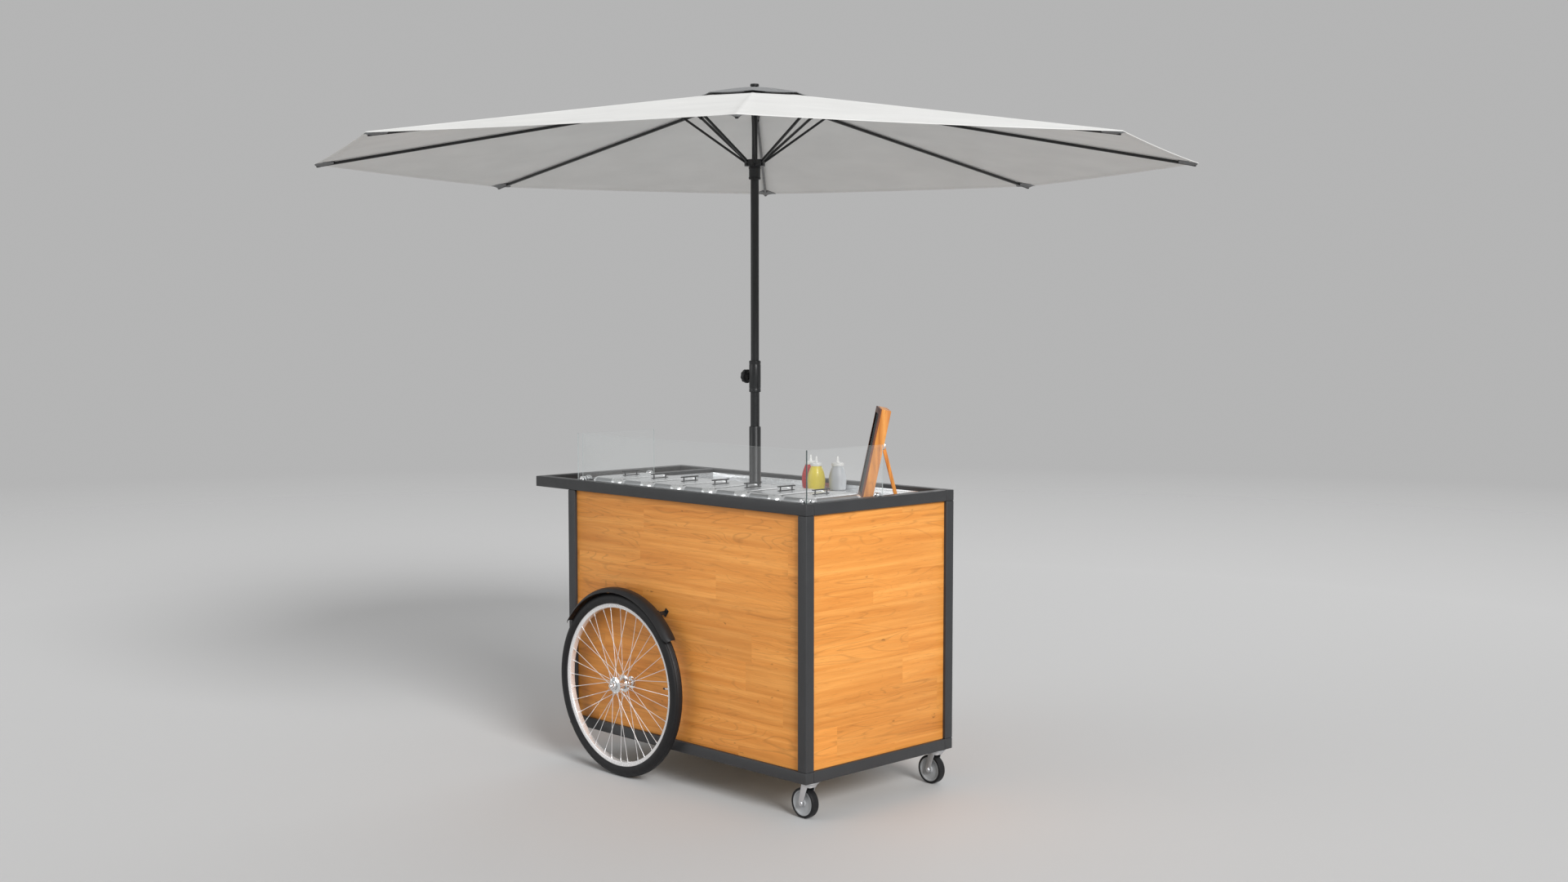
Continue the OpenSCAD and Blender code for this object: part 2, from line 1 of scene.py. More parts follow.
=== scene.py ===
"""Looks of the push vending cart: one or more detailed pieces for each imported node.
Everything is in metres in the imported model's own frame: the origin is on the floor under the
umbrella pole, +X is the caster end, -Y the customer side and +Z up."""
from math import atan2, cos, pi, radians, sin, sqrt, tan

import bmesh
import bpy
from mathutils import Matrix, Vector


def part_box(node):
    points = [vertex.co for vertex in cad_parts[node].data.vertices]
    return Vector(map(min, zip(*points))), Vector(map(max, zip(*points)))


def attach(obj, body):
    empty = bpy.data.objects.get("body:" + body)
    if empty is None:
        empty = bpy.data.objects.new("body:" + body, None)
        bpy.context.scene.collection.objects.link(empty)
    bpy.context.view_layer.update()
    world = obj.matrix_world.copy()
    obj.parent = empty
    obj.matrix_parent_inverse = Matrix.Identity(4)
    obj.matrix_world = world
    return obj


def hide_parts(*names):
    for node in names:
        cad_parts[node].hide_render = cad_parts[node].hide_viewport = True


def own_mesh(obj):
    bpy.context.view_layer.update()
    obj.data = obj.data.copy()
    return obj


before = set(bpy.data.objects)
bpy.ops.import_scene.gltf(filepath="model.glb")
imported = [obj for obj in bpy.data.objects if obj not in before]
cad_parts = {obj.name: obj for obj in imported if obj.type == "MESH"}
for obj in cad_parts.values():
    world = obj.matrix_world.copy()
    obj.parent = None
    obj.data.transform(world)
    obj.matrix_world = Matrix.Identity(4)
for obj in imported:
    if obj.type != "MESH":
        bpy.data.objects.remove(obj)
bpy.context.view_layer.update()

MM = 0.001
TUBE = 38 * MM
FINISHES = {}


# ---------- shapes: outlines are lists of points, and forms are (vertices, faces) ----------


def circle(radius, steps, z=0.0, turn=0.0):
    return [Vector((radius * cos(turn + 2 * pi * i / steps), radius * sin(turn + 2 * pi * i / steps), z))
            for i in range(steps)]


def skin(loops, ring=False):
    """Joins equal closed loops of points by quads. ring joins the last loop to the first; without
    it both ends are capped."""
    n = len(loops[0])
    verts = [Vector(p) for loop in loops for p in loop]
    faces = []
    for j in range(len(loops) if ring else len(loops) - 1):
        low, high = j * n, (j + 1) % len(loops) * n
        for i in range(n):
            k = (i + 1) % n
            faces.append((low + i, low + k, high + k, high + i))
    if not ring:
        faces.append(tuple(range(n - 1, -1, -1)))
        faces.append(tuple(range((len(loops) - 1) * n, len(loops) * n)))
    return verts, faces


def mm(outline, base=0.0):
    """(radius, height) points given in millimetres, above a height in metres."""
    return [(r * MM, base + z * MM) for r, z in outline]


def lathe(outline, steps):
    """Turns (radius, height) points about Z. An outline that doesn't touch the axis is a ring."""
    ends_on_axis = outline[0][0] < 1e-5 and outline[-1][0] < 1e-5
    loops = [circle(max(r, 1e-5), steps, z) for r, z in outline]
    return skin(loops, ring=not ends_on_axis)


def rod(start, end, radius, steps=12, soft=0.0):
    """A round bar between two points, with its ends eased by soft."""
    start, end = Vector(start), Vector(end)
    length = (end - start).length
    outline = [(0, 0), (radius - soft, 0)]
    if soft:
        outline += [(radius, soft), (radius, length - soft)]
    outline += [(radius - soft, length), (0, length)]
    turn = Vector((0, 0, 1)).rotation_difference(end - start).to_matrix().to_4x4()
    return placed(lathe(outline, steps), Matrix.Translation(start) @ turn)


def tube(path, radius, steps):
    """A round section swept along an open path of points."""
    path = [Vector(p) for p in path]
    ways = [(after - before).normalized()
            for before, after in zip(path[:1] + path[:-1], path[1:] + path[-1:])]
    side = ways[0].orthogonal().normalized()
    loops = []
    for point, way in zip(path, ways):
        side = (side - side.dot(way) * way).normalized()
        up = way.cross(side)
        loops.append([point + radius * (cos(2 * pi * i / steps) * side + sin(2 * pi * i / steps) * up)
                      for i in range(steps)])
    return skin(loops)


def fluted(outline, flutes, depth, steps, base=0.0):
    """Turns (radius, height, share) points in millimetres about Z, with flutes cut into the side.
    Each is twice its share of depth at the deepest."""
    loops = []
    for r, z, share in outline:
        loop = []
        for i in range(steps):
            a = 2 * pi * i / steps
            out = (r - depth * share * (1 + cos(flutes * a))) * MM
            loop.append(Vector((out * cos(a), out * sin(a), base + z * MM)))
        loops.append(loop)
    return skin(loops)


def vessel(loops, last):
    """A thin-walled form. The loops run along one wall as far as number last, where a flat face
    closes it, and the others come back along the other wall."""
    n = len(loops[0])
    verts, faces = skin(loops, ring=True)
    faces = [f for f in faces if not (min(f) // n == last and max(f) // n == last + 1)]
    faces.append(tuple(range(last * n, (last + 1) * n)))
    faces.append(tuple(range((last + 2) * n - 1, (last + 1) * n - 1, -1)))
    return verts, faces


def rounded_rectangle(width, length, radius, z=0.0, steps=6):
    """A loop of points, centred on the Z axis, with round corners."""
    radius = max(min(radius, width / 2 - 1e-5, length / 2 - 1e-5), 1e-5)
    points = []
    for quarter, (sx, sy) in enumerate([(1, 1), (-1, 1), (-1, -1), (1, -1)]):
        middle = Vector((sx * (width / 2 - radius), sy * (length / 2 - radius), z))
        for i in range(steps + 1):
            a = pi / 2 * (quarter + i / steps)
            points.append(middle + radius * Vector((cos(a), sin(a), 0)))
    return points


def inset(outline, edge):
    """A flat convex outline, counter-clockwise in XY, moved inwards by edge."""
    n = len(outline)
    sharpest = 0.35
    moved = []
    for i, point in enumerate(outline):
        before = (point - outline[i - 1]).normalized()
        after = (outline[(i + 1) % n] - point).normalized()
        inward = Vector((-before.y - after.y, before.x + after.x, 0))
        size = inward.length
        moved.append(point + inward / size * edge / max(size / 2, sharpest))
    return moved


def slab(outline, height, edge):
    """An outline in XY raised along Z, with its rims rounded by edge."""
    loops = []
    for turn in range(4):
        a = pi / 2 * turn / 3
        loops.append([p + Vector((0, 0, edge - edge * cos(a))) for p in inset(outline, edge - edge * sin(a))])
    top = [[Vector((p.x, p.y, height - p.z)) for p in loop] for loop in reversed(loops)]
    return skin(loops + top)


def box(low, high, edge=0.0, segments=3):
    """A box with rounded edges."""
    bm = bmesh.new()
    size = Vector(high) - Vector(low)
    middle = (Vector(high) + Vector(low)) / 2
    bmesh.ops.create_cube(bm, size=1, matrix=Matrix.Translation(middle) @ Matrix.Diagonal((*size, 1)))
    if edge:
        bmesh.ops.bevel(bm, geom=bm.edges[:], offset=min(edge, min(size) * 0.45), segments=segments,
                        profile=0.5, affect="EDGES")
    bm.verts.index_update()
    shape = [v.co.copy() for v in bm.verts], [tuple(v.index for v in f.verts) for f in bm.faces]
    bm.free()
    return shape


def placed(shape, matrix):
    verts, faces = shape
    if matrix.determinant() < 0:
        faces = [tuple(reversed(f)) for f in faces]
    return [matrix @ v for v in verts], faces


def moved(shape, x=0.0, y=0.0, z=0.0):
    return placed(shape, Matrix.Translation((x, y, z)))


def turned(angle, axis):
    return Matrix.Rotation(radians(angle), 4, axis)


def join(*shapes):
    verts, faces = [], []
    for more_verts, more_faces in shapes:
        base = len(verts)
        verts += more_verts
        faces += [tuple(base + i for i in f) for f in more_faces]
    return verts, faces


def node_boxes(node):
    """Lowest and highest corner of each separate solid of a CAD node."""
    bm = bmesh.new()
    bm.from_mesh(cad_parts[node].data)
    bmesh.ops.remove_doubles(bm, verts=bm.verts[:], dist=1e-5)
    left = set(bm.verts)
    boxes = []
    while left:
        found, edge = set(), [left.pop()]
        while edge:
            vert = edge.pop()
            found.add(vert)
            near = {e.other_vert(vert) for e in vert.link_edges} & left
            left -= near
            edge += near
        boxes.append(tuple(Vector([pick(v.co[i] for v in found) for i in range(3)]) for pick in (min, max)))
    bm.free()
    return sorted(boxes, key=lambda b: tuple(b[0]))


def middle(node):
    low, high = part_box(node)
    return (low + high) / 2


# ---------- pieces ----------


def piece(name, shape, body, finish, *nodes, slot=None, crease=32):
    """Makes an object from a shape, gives it a finish and rides it on a body."""
    mesh = bpy.data.meshes.new(name)
    mesh.from_pydata([tuple(v) for v in shape[0]], [], shape[1])
    bm = bmesh.new()
    bm.from_mesh(mesh)
    bmesh.ops.remove_doubles(bm, verts=bm.verts[:], dist=2e-6)
    bmesh.ops.recalc_face_normals(bm, faces=bm.faces[:])
    bm.to_mesh(mesh)
    bm.free()
    obj = bpy.data.objects.new(name, mesh)
    bpy.context.scene.collection.objects.link(obj)
    mesh.materials.append(FINISHES[finish])
    mesh.shade_smooth()
    mesh.set_sharp_from_angle(angle=radians(crease))
    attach(obj, body)
    if nodes:
        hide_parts(*nodes)
    return obj


# ---------- finishes ----------


class Finish:
    """A procedural material: a Principled shader and patterns in the piece's own coordinates."""

    def __init__(self, name, colour, roughness, **uniform):
        material = bpy.data.materials.new(name)
        material.use_nodes = True
        self.tree = material.node_tree
        self.shader = self.tree.nodes["Principled BSDF"]
        self.place = self.add("ShaderNodeTexCoord").outputs["Object"]
        self.set("Base Color", (*colour, 1))
        self.set("Roughness", roughness)
        for socket, value in uniform.items():
            self.set(socket.replace("_", " "), value)
        FINISHES[name] = material

    def add(self, kind, **settings):
        node = self.tree.nodes.new(kind)
        for key, value in settings.items():
            setattr(node, key, value)
        return node

    def feed(self, socket, value):
        if isinstance(value, bpy.types.NodeSocket):
            self.tree.links.new(value, socket)
        else:
            socket.default_value = value

    def set(self, socket, value):
        self.feed(self.shader.inputs[socket], value)

    def maths(self, operation, *values):
        node = self.add("ShaderNodeMath", operation=operation)
        for socket, value in zip(node.inputs, values):
            self.feed(socket, value)
        return node.outputs[0]

    def times(self, first, second):
        return self.maths("MULTIPLY", first, second)

    def plus(self, first, second):
        return self.maths("ADD", first, second)

    def stretched(self, x, y, z):
        node = self.add("ShaderNodeMapping")
        self.feed(node.inputs["Vector"], self.place)
        node.inputs["Scale"].default_value = (x, y, z)
        return node.outputs[0]

    def vector(self, x, y, z=0.0):
        node = self.add("ShaderNodeCombineXYZ")
        for socket, value in zip(node.inputs, (x, y, z)):
            self.feed(socket, value)
        return node.outputs[0]

    def parts(self):
        node = self.add("ShaderNodeSeparateXYZ")
        self.feed(node.inputs[0], self.place)
        return node.outputs

    def noise(self, vector, scale=1.0, detail=3.0, distortion=0.0):
        node = self.add("ShaderNodeTexNoise")
        self.feed(node.inputs["Vector"], vector)
        node.inputs["Scale"].default_value = scale
        node.inputs["Detail"].default_value = detail
        node.inputs["Distortion"].default_value = distortion
        return node.outputs["Fac"]

    def random(self, value):
        node = self.add("ShaderNodeTexWhiteNoise", noise_dimensions="1D")
        self.feed(node.inputs["W"], value)
        return node.outputs["Value"]

    def spread(self, value, low, high, to_low, to_high):
        node = self.add("ShaderNodeMapRange")
        for socket, number in zip(node.inputs, (value, low, high, to_low, to_high)):
            self.feed(socket, number)
        return node.outputs[0]

    def ramp(self, value, *stops):
        node = self.add("ShaderNodeValToRGB")
        self.feed(node.inputs[0], value)
        elements = node.color_ramp.elements
        while len(elements) < len(stops):
            elements.new(0.5)
        for element, (position, colour) in zip(elements, stops):
            element.position = position
            element.color = (*colour, 1)
        return node.outputs[0]

    def tint(self, share, first, second, mode="MIX"):
        node = self.add("ShaderNodeMix", data_type="RGBA", blend_type=mode)
        self.feed(node.inputs[0], share)
        self.feed(node.inputs[6], (*first, 1) if isinstance(first, tuple) else first)
        self.feed(node.inputs[7], (*second, 1) if isinstance(second, tuple) else second)
        return node.outputs[2]

    def blend(self, share, first, second):
        """Gives the surface the first shader, changing to the second by share."""
        mixer = self.add("ShaderNodeMixShader")
        for socket, value in zip(mixer.inputs, (share, first, second)):
            self.feed(socket, value)
        output = next(n for n in self.tree.nodes if n.type == "OUTPUT_MATERIAL")
        self.feed(output.inputs["Surface"], mixer.outputs[0])

    def bump(self, height, depth):
        node = self.add("ShaderNodeBump")
        self.feed(node.inputs["Height"], height)
        node.inputs["Distance"].default_value = depth
        node.inputs["Strength"].default_value = 1.0
        self.set("Normal", node.outputs[0])

    def mottled(self, colour, scale, change):
        """Lets the colour drift by a share either way over patches."""
        dark = tuple(c * (1 - change) for c in colour)
        light = tuple(min(c * (1 + change), 1.0) for c in colour)
        self.set("Base Color", self.ramp(self.noise(self.place, scale), (0.3, dark), (0.7, light)))


def painted(name, colour, roughness, grain=650, depth=0.00012):
    """Sprayed or powder coated metal: fine orange peel and slight changes of gloss."""
    finish = Finish(name, colour, roughness, Specular_IOR_Level=0.45)
    finish.mottled(colour, 9, 0.07)
    finish.set("Roughness", finish.spread(finish.noise(finish.place, 26), 0.3, 0.7, roughness - 0.06,
                                          roughness + 0.07))
    finish.bump(finish.noise(finish.place, grain, 2), depth)


def metal(name, colour, roughness, brush=None, depth=0.000008, share=1.0):
    """Bare metal. brush stretches the grain: a large number is across it, a small one along it.
    share under 1 is satin metal, part of which scatters."""
    finish = Finish(name, colour, roughness, Metallic=share)
    lines = finish.noise(finish.stretched(*(brush or (420, 420, 420))), 1, 2)
    cloud = finish.noise(finish.place, 14, 3)
    finish.mottled(colour, 11, 0.05)
    both = finish.plus(finish.times(lines, 0.6), finish.times(cloud, 0.4))
    finish.set("Roughness", finish.spread(both, 0.3, 0.7, roughness * 0.88, roughness * 1.14))
    finish.bump(lines, depth)


def moulded(name, colour, roughness, grain=900, depth=0.00006, **uniform):
    """Moulded plastic or rubber with a fine grain."""
    finish = Finish(name, colour, roughness, **uniform)
    finish.mottled(colour, 16, 0.06)
    finish.set("Roughness", finish.spread(finish.noise(finish.place, 60), 0.3, 0.7, roughness - 0.05,
                                          roughness + 0.06))
    finish.bump(finish.noise(finish.place, grain, 2), depth)


def wood(name, dark, mid, light, upright=False, plank=0.096):
    """Oiled boards: rows of planks, flame figure, grain lines, fine fibres and a few flecks."""
    finish = Finish(name, mid, 0.46, Specular_IOR_Level=0.4)
    x, y, z = finish.parts()
    flat = finish.plus(x, y)
    along, across = (z, flat) if upright else (flat, z)
    row = finish.maths("FLOOR", finish.maths("DIVIDE", across, plank))
    shift = finish.random(row)
    length = finish.plus(finish.maths("DIVIDE", along, 0.74), finish.times(shift, 7.3))
    board = finish.random(finish.plus(finish.times(row, 13.7), finish.maths("FLOOR", length)))
    offset = finish.times(board, 37.0)

    def streaks(along_scale, across_scale, detail=3, distortion=0.0):
        vector = finish.vector(finish.times(along, along_scale), finish.times(across, across_scale),
                               offset)
        return finish.noise(vector, 1, detail, distortion)

    figure = streaks(1.7, 46, 5, 0.25)
    flame = streaks(1.5, 11, 2, 0.5)
    rings = finish.maths("PINGPONG", finish.times(flame, 15.0), 0.5)
    shown = finish.spread(streaks(1.2, 7), 0.42, 0.58, 0.0, 1.0)
    fibre = streaks(13, 640, 2)
    pore = streaks(24, 330)
    knot = streaks(22, 48, 2)
    colour = finish.ramp(figure, (0.3, dark), (0.5, mid), (0.7, light))
    line = finish.times(finish.spread(rings, 0.0, 0.13, 0.2, 0.0), shown)
    tone = finish.spread(board, 0, 1, 0.92, 1.07)
    tone = finish.times(tone, finish.maths("SUBTRACT", 1.0, line))
    tone = finish.times(tone, finish.spread(fibre, 0.3, 0.7, 0.93, 1.05))
    tone = finish.times(tone, finish.spread(pore, 0.6, 0.72, 1.0, 0.84))
    tone = finish.times(tone, finish.spread(knot, 0.73, 0.79, 1.0, 0.55))
    finish.set("Base Color", finish.tint(1.0, colour, finish.vector(tone, tone, tone), "MULTIPLY"))
    finish.set("Roughness", finish.spread(fibre, 0.3, 0.7, 0.42, 0.56))
    finish.bump(fibre, 0.00012)


def woven(name, colour, roughness, thread, depth, sheen):
    """Plain weave cloth: crossed threads, slight slubs and cloudy wear."""
    finish = Finish(name, colour, roughness, Sheen_Weight=sheen, Sheen_Roughness=0.4,
                    Specular_IOR_Level=0.2)
    turns = 2 * pi / thread
    x, y, z = finish.parts()
    warp = finish.maths("SINE", finish.times(finish.plus(x, z), turns))
    weft = finish.maths("SINE", finish.times(finish.maths("SUBTRACT", y, z), turns))
    weave = finish.times(warp, weft)
    slub = finish.noise(finish.place, 340, 2)
    finish.mottled(colour, 5, 0.035)
    finish.set("Roughness", finish.spread(slub, 0.3, 0.7, roughness - 0.06, min(roughness + 0.08, 1.0)))
    finish.bump(finish.plus(weave, finish.times(slub, 1.4)), depth)


def glazed(name, tint, mirror, most=0.9):
    """Thin clear glass: mostly see-through, with a mirror share that grows at low angles, up to most."""
    finish = Finish(name, tint, 0.02, Specular_IOR_Level=0.6)
    finish.mottled(tint, 6, 0.02)
    clear = finish.add("ShaderNodeBsdfTransparent")
    clear.inputs["Color"].default_value = (*tint, 1)
    rim = finish.add("ShaderNodeLayerWeight")
    rim.inputs["Blend"].default_value = 0.12
    smear = finish.spread(finish.noise(finish.place, 5), 0.3, 0.7, mirror * 0.8, mirror * 1.2)
    share = finish.maths("MINIMUM", finish.plus(rim.outputs["Fresnel"], smear), most)
    finish.blend(share, clear.outputs[0], finish.shader.outputs[0])


def make_finishes():
    painted("powder_coat", (0.034, 0.035, 0.037), 0.42)
    painted("umbrella_paint", (0.017, 0.018, 0.019), 0.34, 900, 0.00006)
    wood("cladding_wood", (0.66, 0.24, 0.04), (0.75, 0.298, 0.058), (0.85, 0.37, 0.085))
    wood("shelf_wood", (0.46, 0.31, 0.16), (0.58, 0.42, 0.24), (0.7, 0.54, 0.34))
    wood("board_wood", (0.5, 0.17, 0.026), (0.68, 0.26, 0.045), (0.8, 0.36, 0.08), True, 0.11)
    # painted shade: a copy of the board wood about a quarter as bright, standing for the shadow on the
    # board's front face
    wood("board_border_painted_shade", (0.1, 0.028, 0.012), (0.17, 0.05, 0.02), (0.24, 0.08, 0.032), True, 0.11)
    metal("stainless", (0.86, 0.87, 0.88), 0.26, (900, 30, 500), 0.000003, share=0.82)
    # painted shade: the lid walls are the same steel as the lid tops, coloured half as bright to stand for
    # the shade and dark reflections on them
    metal("lid_wall_steel_painted_shade", (0.42, 0.43, 0.44), 0.32, (30, 30, 900))
    metal("rim_alloy", (0.84, 0.83, 0.83), 0.26, share=0.45)
    metal("chrome", (0.86, 0.87, 0.88), 0.1)
    metal("spoke_steel", (0.9, 0.9, 0.91), 0.24, share=0.6)
    metal("zinc", (0.66, 0.67, 0.69), 0.34)
    glazed("guard_glass", (0.985, 0.99, 0.99), 0.035, 0.3)
    glazed("glass_edge", (0.8, 0.86, 0.86), 0.45)
    # painted shade: near-black edge glass standing for the dark line at the counter corner
    glazed("pane_corner_painted_shade", (0.1, 0.12, 0.12), 0.75)
    moulded("black_plastic", (0.012, 0.012, 0.013), 0.42, Specular_IOR_Level=0.38)
    moulded("tyre", (0.007, 0.007, 0.008), 0.5, 500, 0.0001, Specular_IOR_Level=0.35)
    moulded("caster_plastic", (0.36, 0.37, 0.38), 0.36, Subsurface_Weight=0.15,
            Subsurface_Radius=(0.006, 0.006, 0.006))
    moulded("slate", (0.02, 0.022, 0.023), 0.75, 300, 0.0001)
    moulded("bottle_red", (0.62, 0.012, 0.014), 0.3, Subsurface_Weight=0.2,
            Subsurface_Radius=(0.01, 0.002, 0.002), Coat_Weight=0.2)
    moulded("bottle_yellow", (0.82, 0.66, 0.02), 0.3, Subsurface_Weight=0.2,
            Subsurface_Radius=(0.01, 0.008, 0.002), Coat_Weight=0.2)
    moulded("bottle_clear", (0.5, 0.52, 0.54), 0.34, Subsurface_Weight=0.3,
            Subsurface_Radius=(0.01, 0.01, 0.01), Coat_Weight=0.2)
    moulded("cap_white", (0.78, 0.78, 0.76), 0.34)
    woven("canopy_fabric", (0.76, 0.76, 0.745), 0.8, 0.0016, 0.00005, 0.1)
    woven("cap_fabric", (0.21, 0.215, 0.22), 0.85, 0.0016, 0.00006, 0.2)


# ---------- frame and cladding ----------


def make_frame():
    for node in ("side_rails", "cross_rails", "frame_posts"):
        shape = join(*(box(low, high, 3 * MM) for low, high in node_boxes(node)))
        piece(f"{node}_coated", shape, "cart", "powder_coat", node)
    low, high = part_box("side_rails")
    plugs = []
    for y in (low.y + TUBE / 2, high.y - TUBE / 2):
        plug = slab(rounded_rectangle(TUBE - 5 * MM, TUBE - 5 * MM, 4 * MM), 3 * MM, 1 * MM)
        at = Matrix.Translation((low.x - 0.5 * MM, y, high.z - TUBE / 2)) @ turned(90, "Y")
        plugs.append(placed(plug, at))
    piece("handle_end_plugs", join(*plugs), "cart", "black_plastic")


def screw(radius, facing):
    """A pan-head screw with a shallow round dip in its head, standing on the origin and facing along a
    vector.
    """
    dome = lathe([(0, 0), (radius, 0), (radius, 0.25 * radius), (0.8 * radius, 0.5 * radius),
                  (0.4 * radius, 0.62 * radius), (0.22 * radius, 0.5 * radius), (0, 0.4 * radius)], 16)
    turn = Vector((0, 0, 1)).rotation_difference(Vector(facing)).to_matrix().to_4x4()
    return placed(dome, turn)


def make_cladding():
    for node in ("front_panel", "end_panels", "rear_panel"):
        shape = join(*(box(low, high, 0.8 * MM, 2) for low, high in node_boxes(node)))
        piece(f"{node}_boards", shape, "cart", "cladding_wood", node)
    shelves = join(*(box(low, high, 1 * MM, 2) for low, high in node_boxes("cabinet_shelves")))
    piece("cabinet_floor_and_shelf", shelves, "cart", "shelf_wood", "cabinet_shelves")
    low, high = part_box("rear_panel")
    screws = []
    for i in range(4):
        x = low.x + 0.03 + (high.x - low.x - 0.06) * i / 3
        for z in (low.z + 0.02, high.z - 0.02):
            screws.append(moved(screw(3.5 * MM, (0, 1, 0)), x, high.y, z))
    piece("rear_panel_screws", join(*screws), "cart", "zinc")


def make_door():
    low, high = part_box("rear_door")
    thick = 16 * MM
    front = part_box("rear_panel")[1].y
    hinge_low, hinge_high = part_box("door_hinges")
    axis_y = (hinge_low.y + hinge_high.y) / 2
    axis_x = hinge_low.x + 5 * MM
    edge_x = axis_x + 2.5 * MM
    leaf = box((low.x, low.y, low.z), (edge_x, low.y + thick, high.z), 1 * MM, 2)
    piece("rear_door_leaf", leaf, "door", "cladding_wood", "rear_door")
    pull_x, bar_y = low.x + 30 * MM, high.y - 5 * MM
    bottom, top = 640 * MM, 768 * MM
    path = [(pull_x, front, bottom)]
    for i in range(7):
        a = pi / 2 * i / 6
        path.append((pull_x, bar_y - 10 * MM * (1 - sin(a)), bottom + 10 * MM * (1 - cos(a))))
    path += [(x, y, bottom + top - z) for x, y, z in reversed(path)]
    pull = [tube(path, 4.6 * MM, 14)]
    for z in (bottom, top):
        rose = lathe(mm([(0, 0), (9, 0), (9, 1.5), (6, 3), (0, 3)]), 28)
        pull.append(placed(rose, Matrix.Translation((pull_x, front, z)) @ turned(-90, "X")))
    piece("rear_door_pull", join(*pull), "door", "chrome")
    knuckle = [(0, -19.6), (4.4, -19.6), (4.9, -19), (4.9, 19), (4.4, 19.6), (0, 19.6)]
    moving, fixed = [], []
    hinge_heights = (300 * MM, 850 * MM)
    for z in hinge_heights:
        moving.append(moved(lathe(mm(knuckle), 24), axis_x, axis_y, z))
        moving.append(box((axis_x - 8 * MM, front - 1 * MM, z - 19 * MM),
                          (axis_x, axis_y, z + 19 * MM), 0.5 * MM, 1))
        leaf_low = (axis_x - 44 * MM, front, z - 19 * MM)
        moving.append(box(leaf_low, (axis_x - 6 * MM, front + 1.6 * MM, z + 19 * MM), 0.6 * MM, 2))
        for dx in (-36, -18):
            for dz in (-12, 12):
                head = moved(screw(2.6 * MM, (0, 1, 0)), axis_x + dx * MM, front + 1.6 * MM, z + dz * MM)
                moving.append(head)
        for end in (-30 * MM, 30 * MM):
            short = [(r * MM, h * MM * 0.5) for r, h in knuckle]
            fixed.append(moved(lathe(short, 24), axis_x, axis_y, z + end))
            fixed.append(box((axis_x, axis_y - 1.5 * MM, z + end - 9.5 * MM),
                             (hinge_high.x, axis_y + 1.5 * MM, z + end + 9.5 * MM), 0.4 * MM, 1))
        pin_ends = [(axis_x, axis_y, z + end) for end in (-42 * MM, 42 * MM)]
        fixed.append(rod(*pin_ends, 2.5 * MM, 14, 0.8 * MM))
    piece("door_hinge_leaves", join(*moving), "door", "zinc", slot="chrome")
    piece("door_hinge_knuckles", join(*fixed), "cart", "zinc", "door_hinges", slot="chrome")


# ---------- counter ----------


def make_worktop():
    low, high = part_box("worktop")
    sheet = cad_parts["worktop"]
    sheet.data.materials.clear()
    sheet.data.materials.append(FINISHES["stainless"])
    rise, thick = 18 * MM, 1.5 * MM
    strips = [
        box((low.x, high.y - thick, high.z), (high.x, high.y, high.z + rise), 0.6 * MM, 2),
        box((low.x, low.y, high.z), (high.x, low.y + thick, high.z + rise), 0.6 * MM, 2),
        box((high.x - thick, low.y, high.z), (high.x, high.y, high.z + rise), 0.6 * MM, 2),
        box((low.x, 17.5 * MM, high.z), (low.x + thick, high.y, high.z + rise), 0.6 * MM, 2),
    ]
    piece("worktop_upstand", join(*strips), "cart", "stainless")


def make_pans():
    pans = []
    flange = 2 * MM
    for i in range(1, 8):
        lid_low, lid_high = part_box(f"lid_{i}")
        x, y = (lid_low.x + lid_high.x) / 2, (lid_low.y + lid_high.y) / 2
        width, length = lid_high.x - lid_low.x, lid_high.y - lid_low.y
        mouth_w, mouth_l = 137 * MM, 239 * MM
        steps = [(width, length, 14, 0), (width, length, 14, 1.4), (width - 1 * MM, length - 1 * MM, 14, 2),
                 (mouth_w + 6 * MM, mouth_l + 6 * MM, 34, 2), (mouth_w + 1 * MM, mouth_l + 1 * MM, 31, 0),
                 (mouth_w - 2 * MM, mouth_l - 2 * MM, 30, -8), (mouth_w - 8 * MM, mouth_l - 8 * MM, 30, -138),
                 (mouth_w - 16 * MM, mouth_l - 16 * MM, 27, -145),
                 (mouth_w - 34 * MM, mouth_l - 34 * MM, 20, -148)]
        outer = [(mouth_w - 34 * MM, mouth_l - 34 * MM, 20, -149.4),
                 (mouth_w - 14 * MM, mouth_l - 14 * MM, 28, -146),
                 (mouth_w - 5.5 * MM, mouth_l - 5.5 * MM, 31, -138), (mouth_w, mouth_l, 32, -1)]
        loops = [rounded_rectangle(w, l, r * MM, z * MM) for w, l, r, z in steps + outer]
        pan = vessel(loops, len(steps) - 1)
        pans.append(moved(pan, x, y, lid_low.z - flange - 0.3 * MM))
    piece("food_pans_pressed", join(*pans), "cart", "stainless", "food_pans")


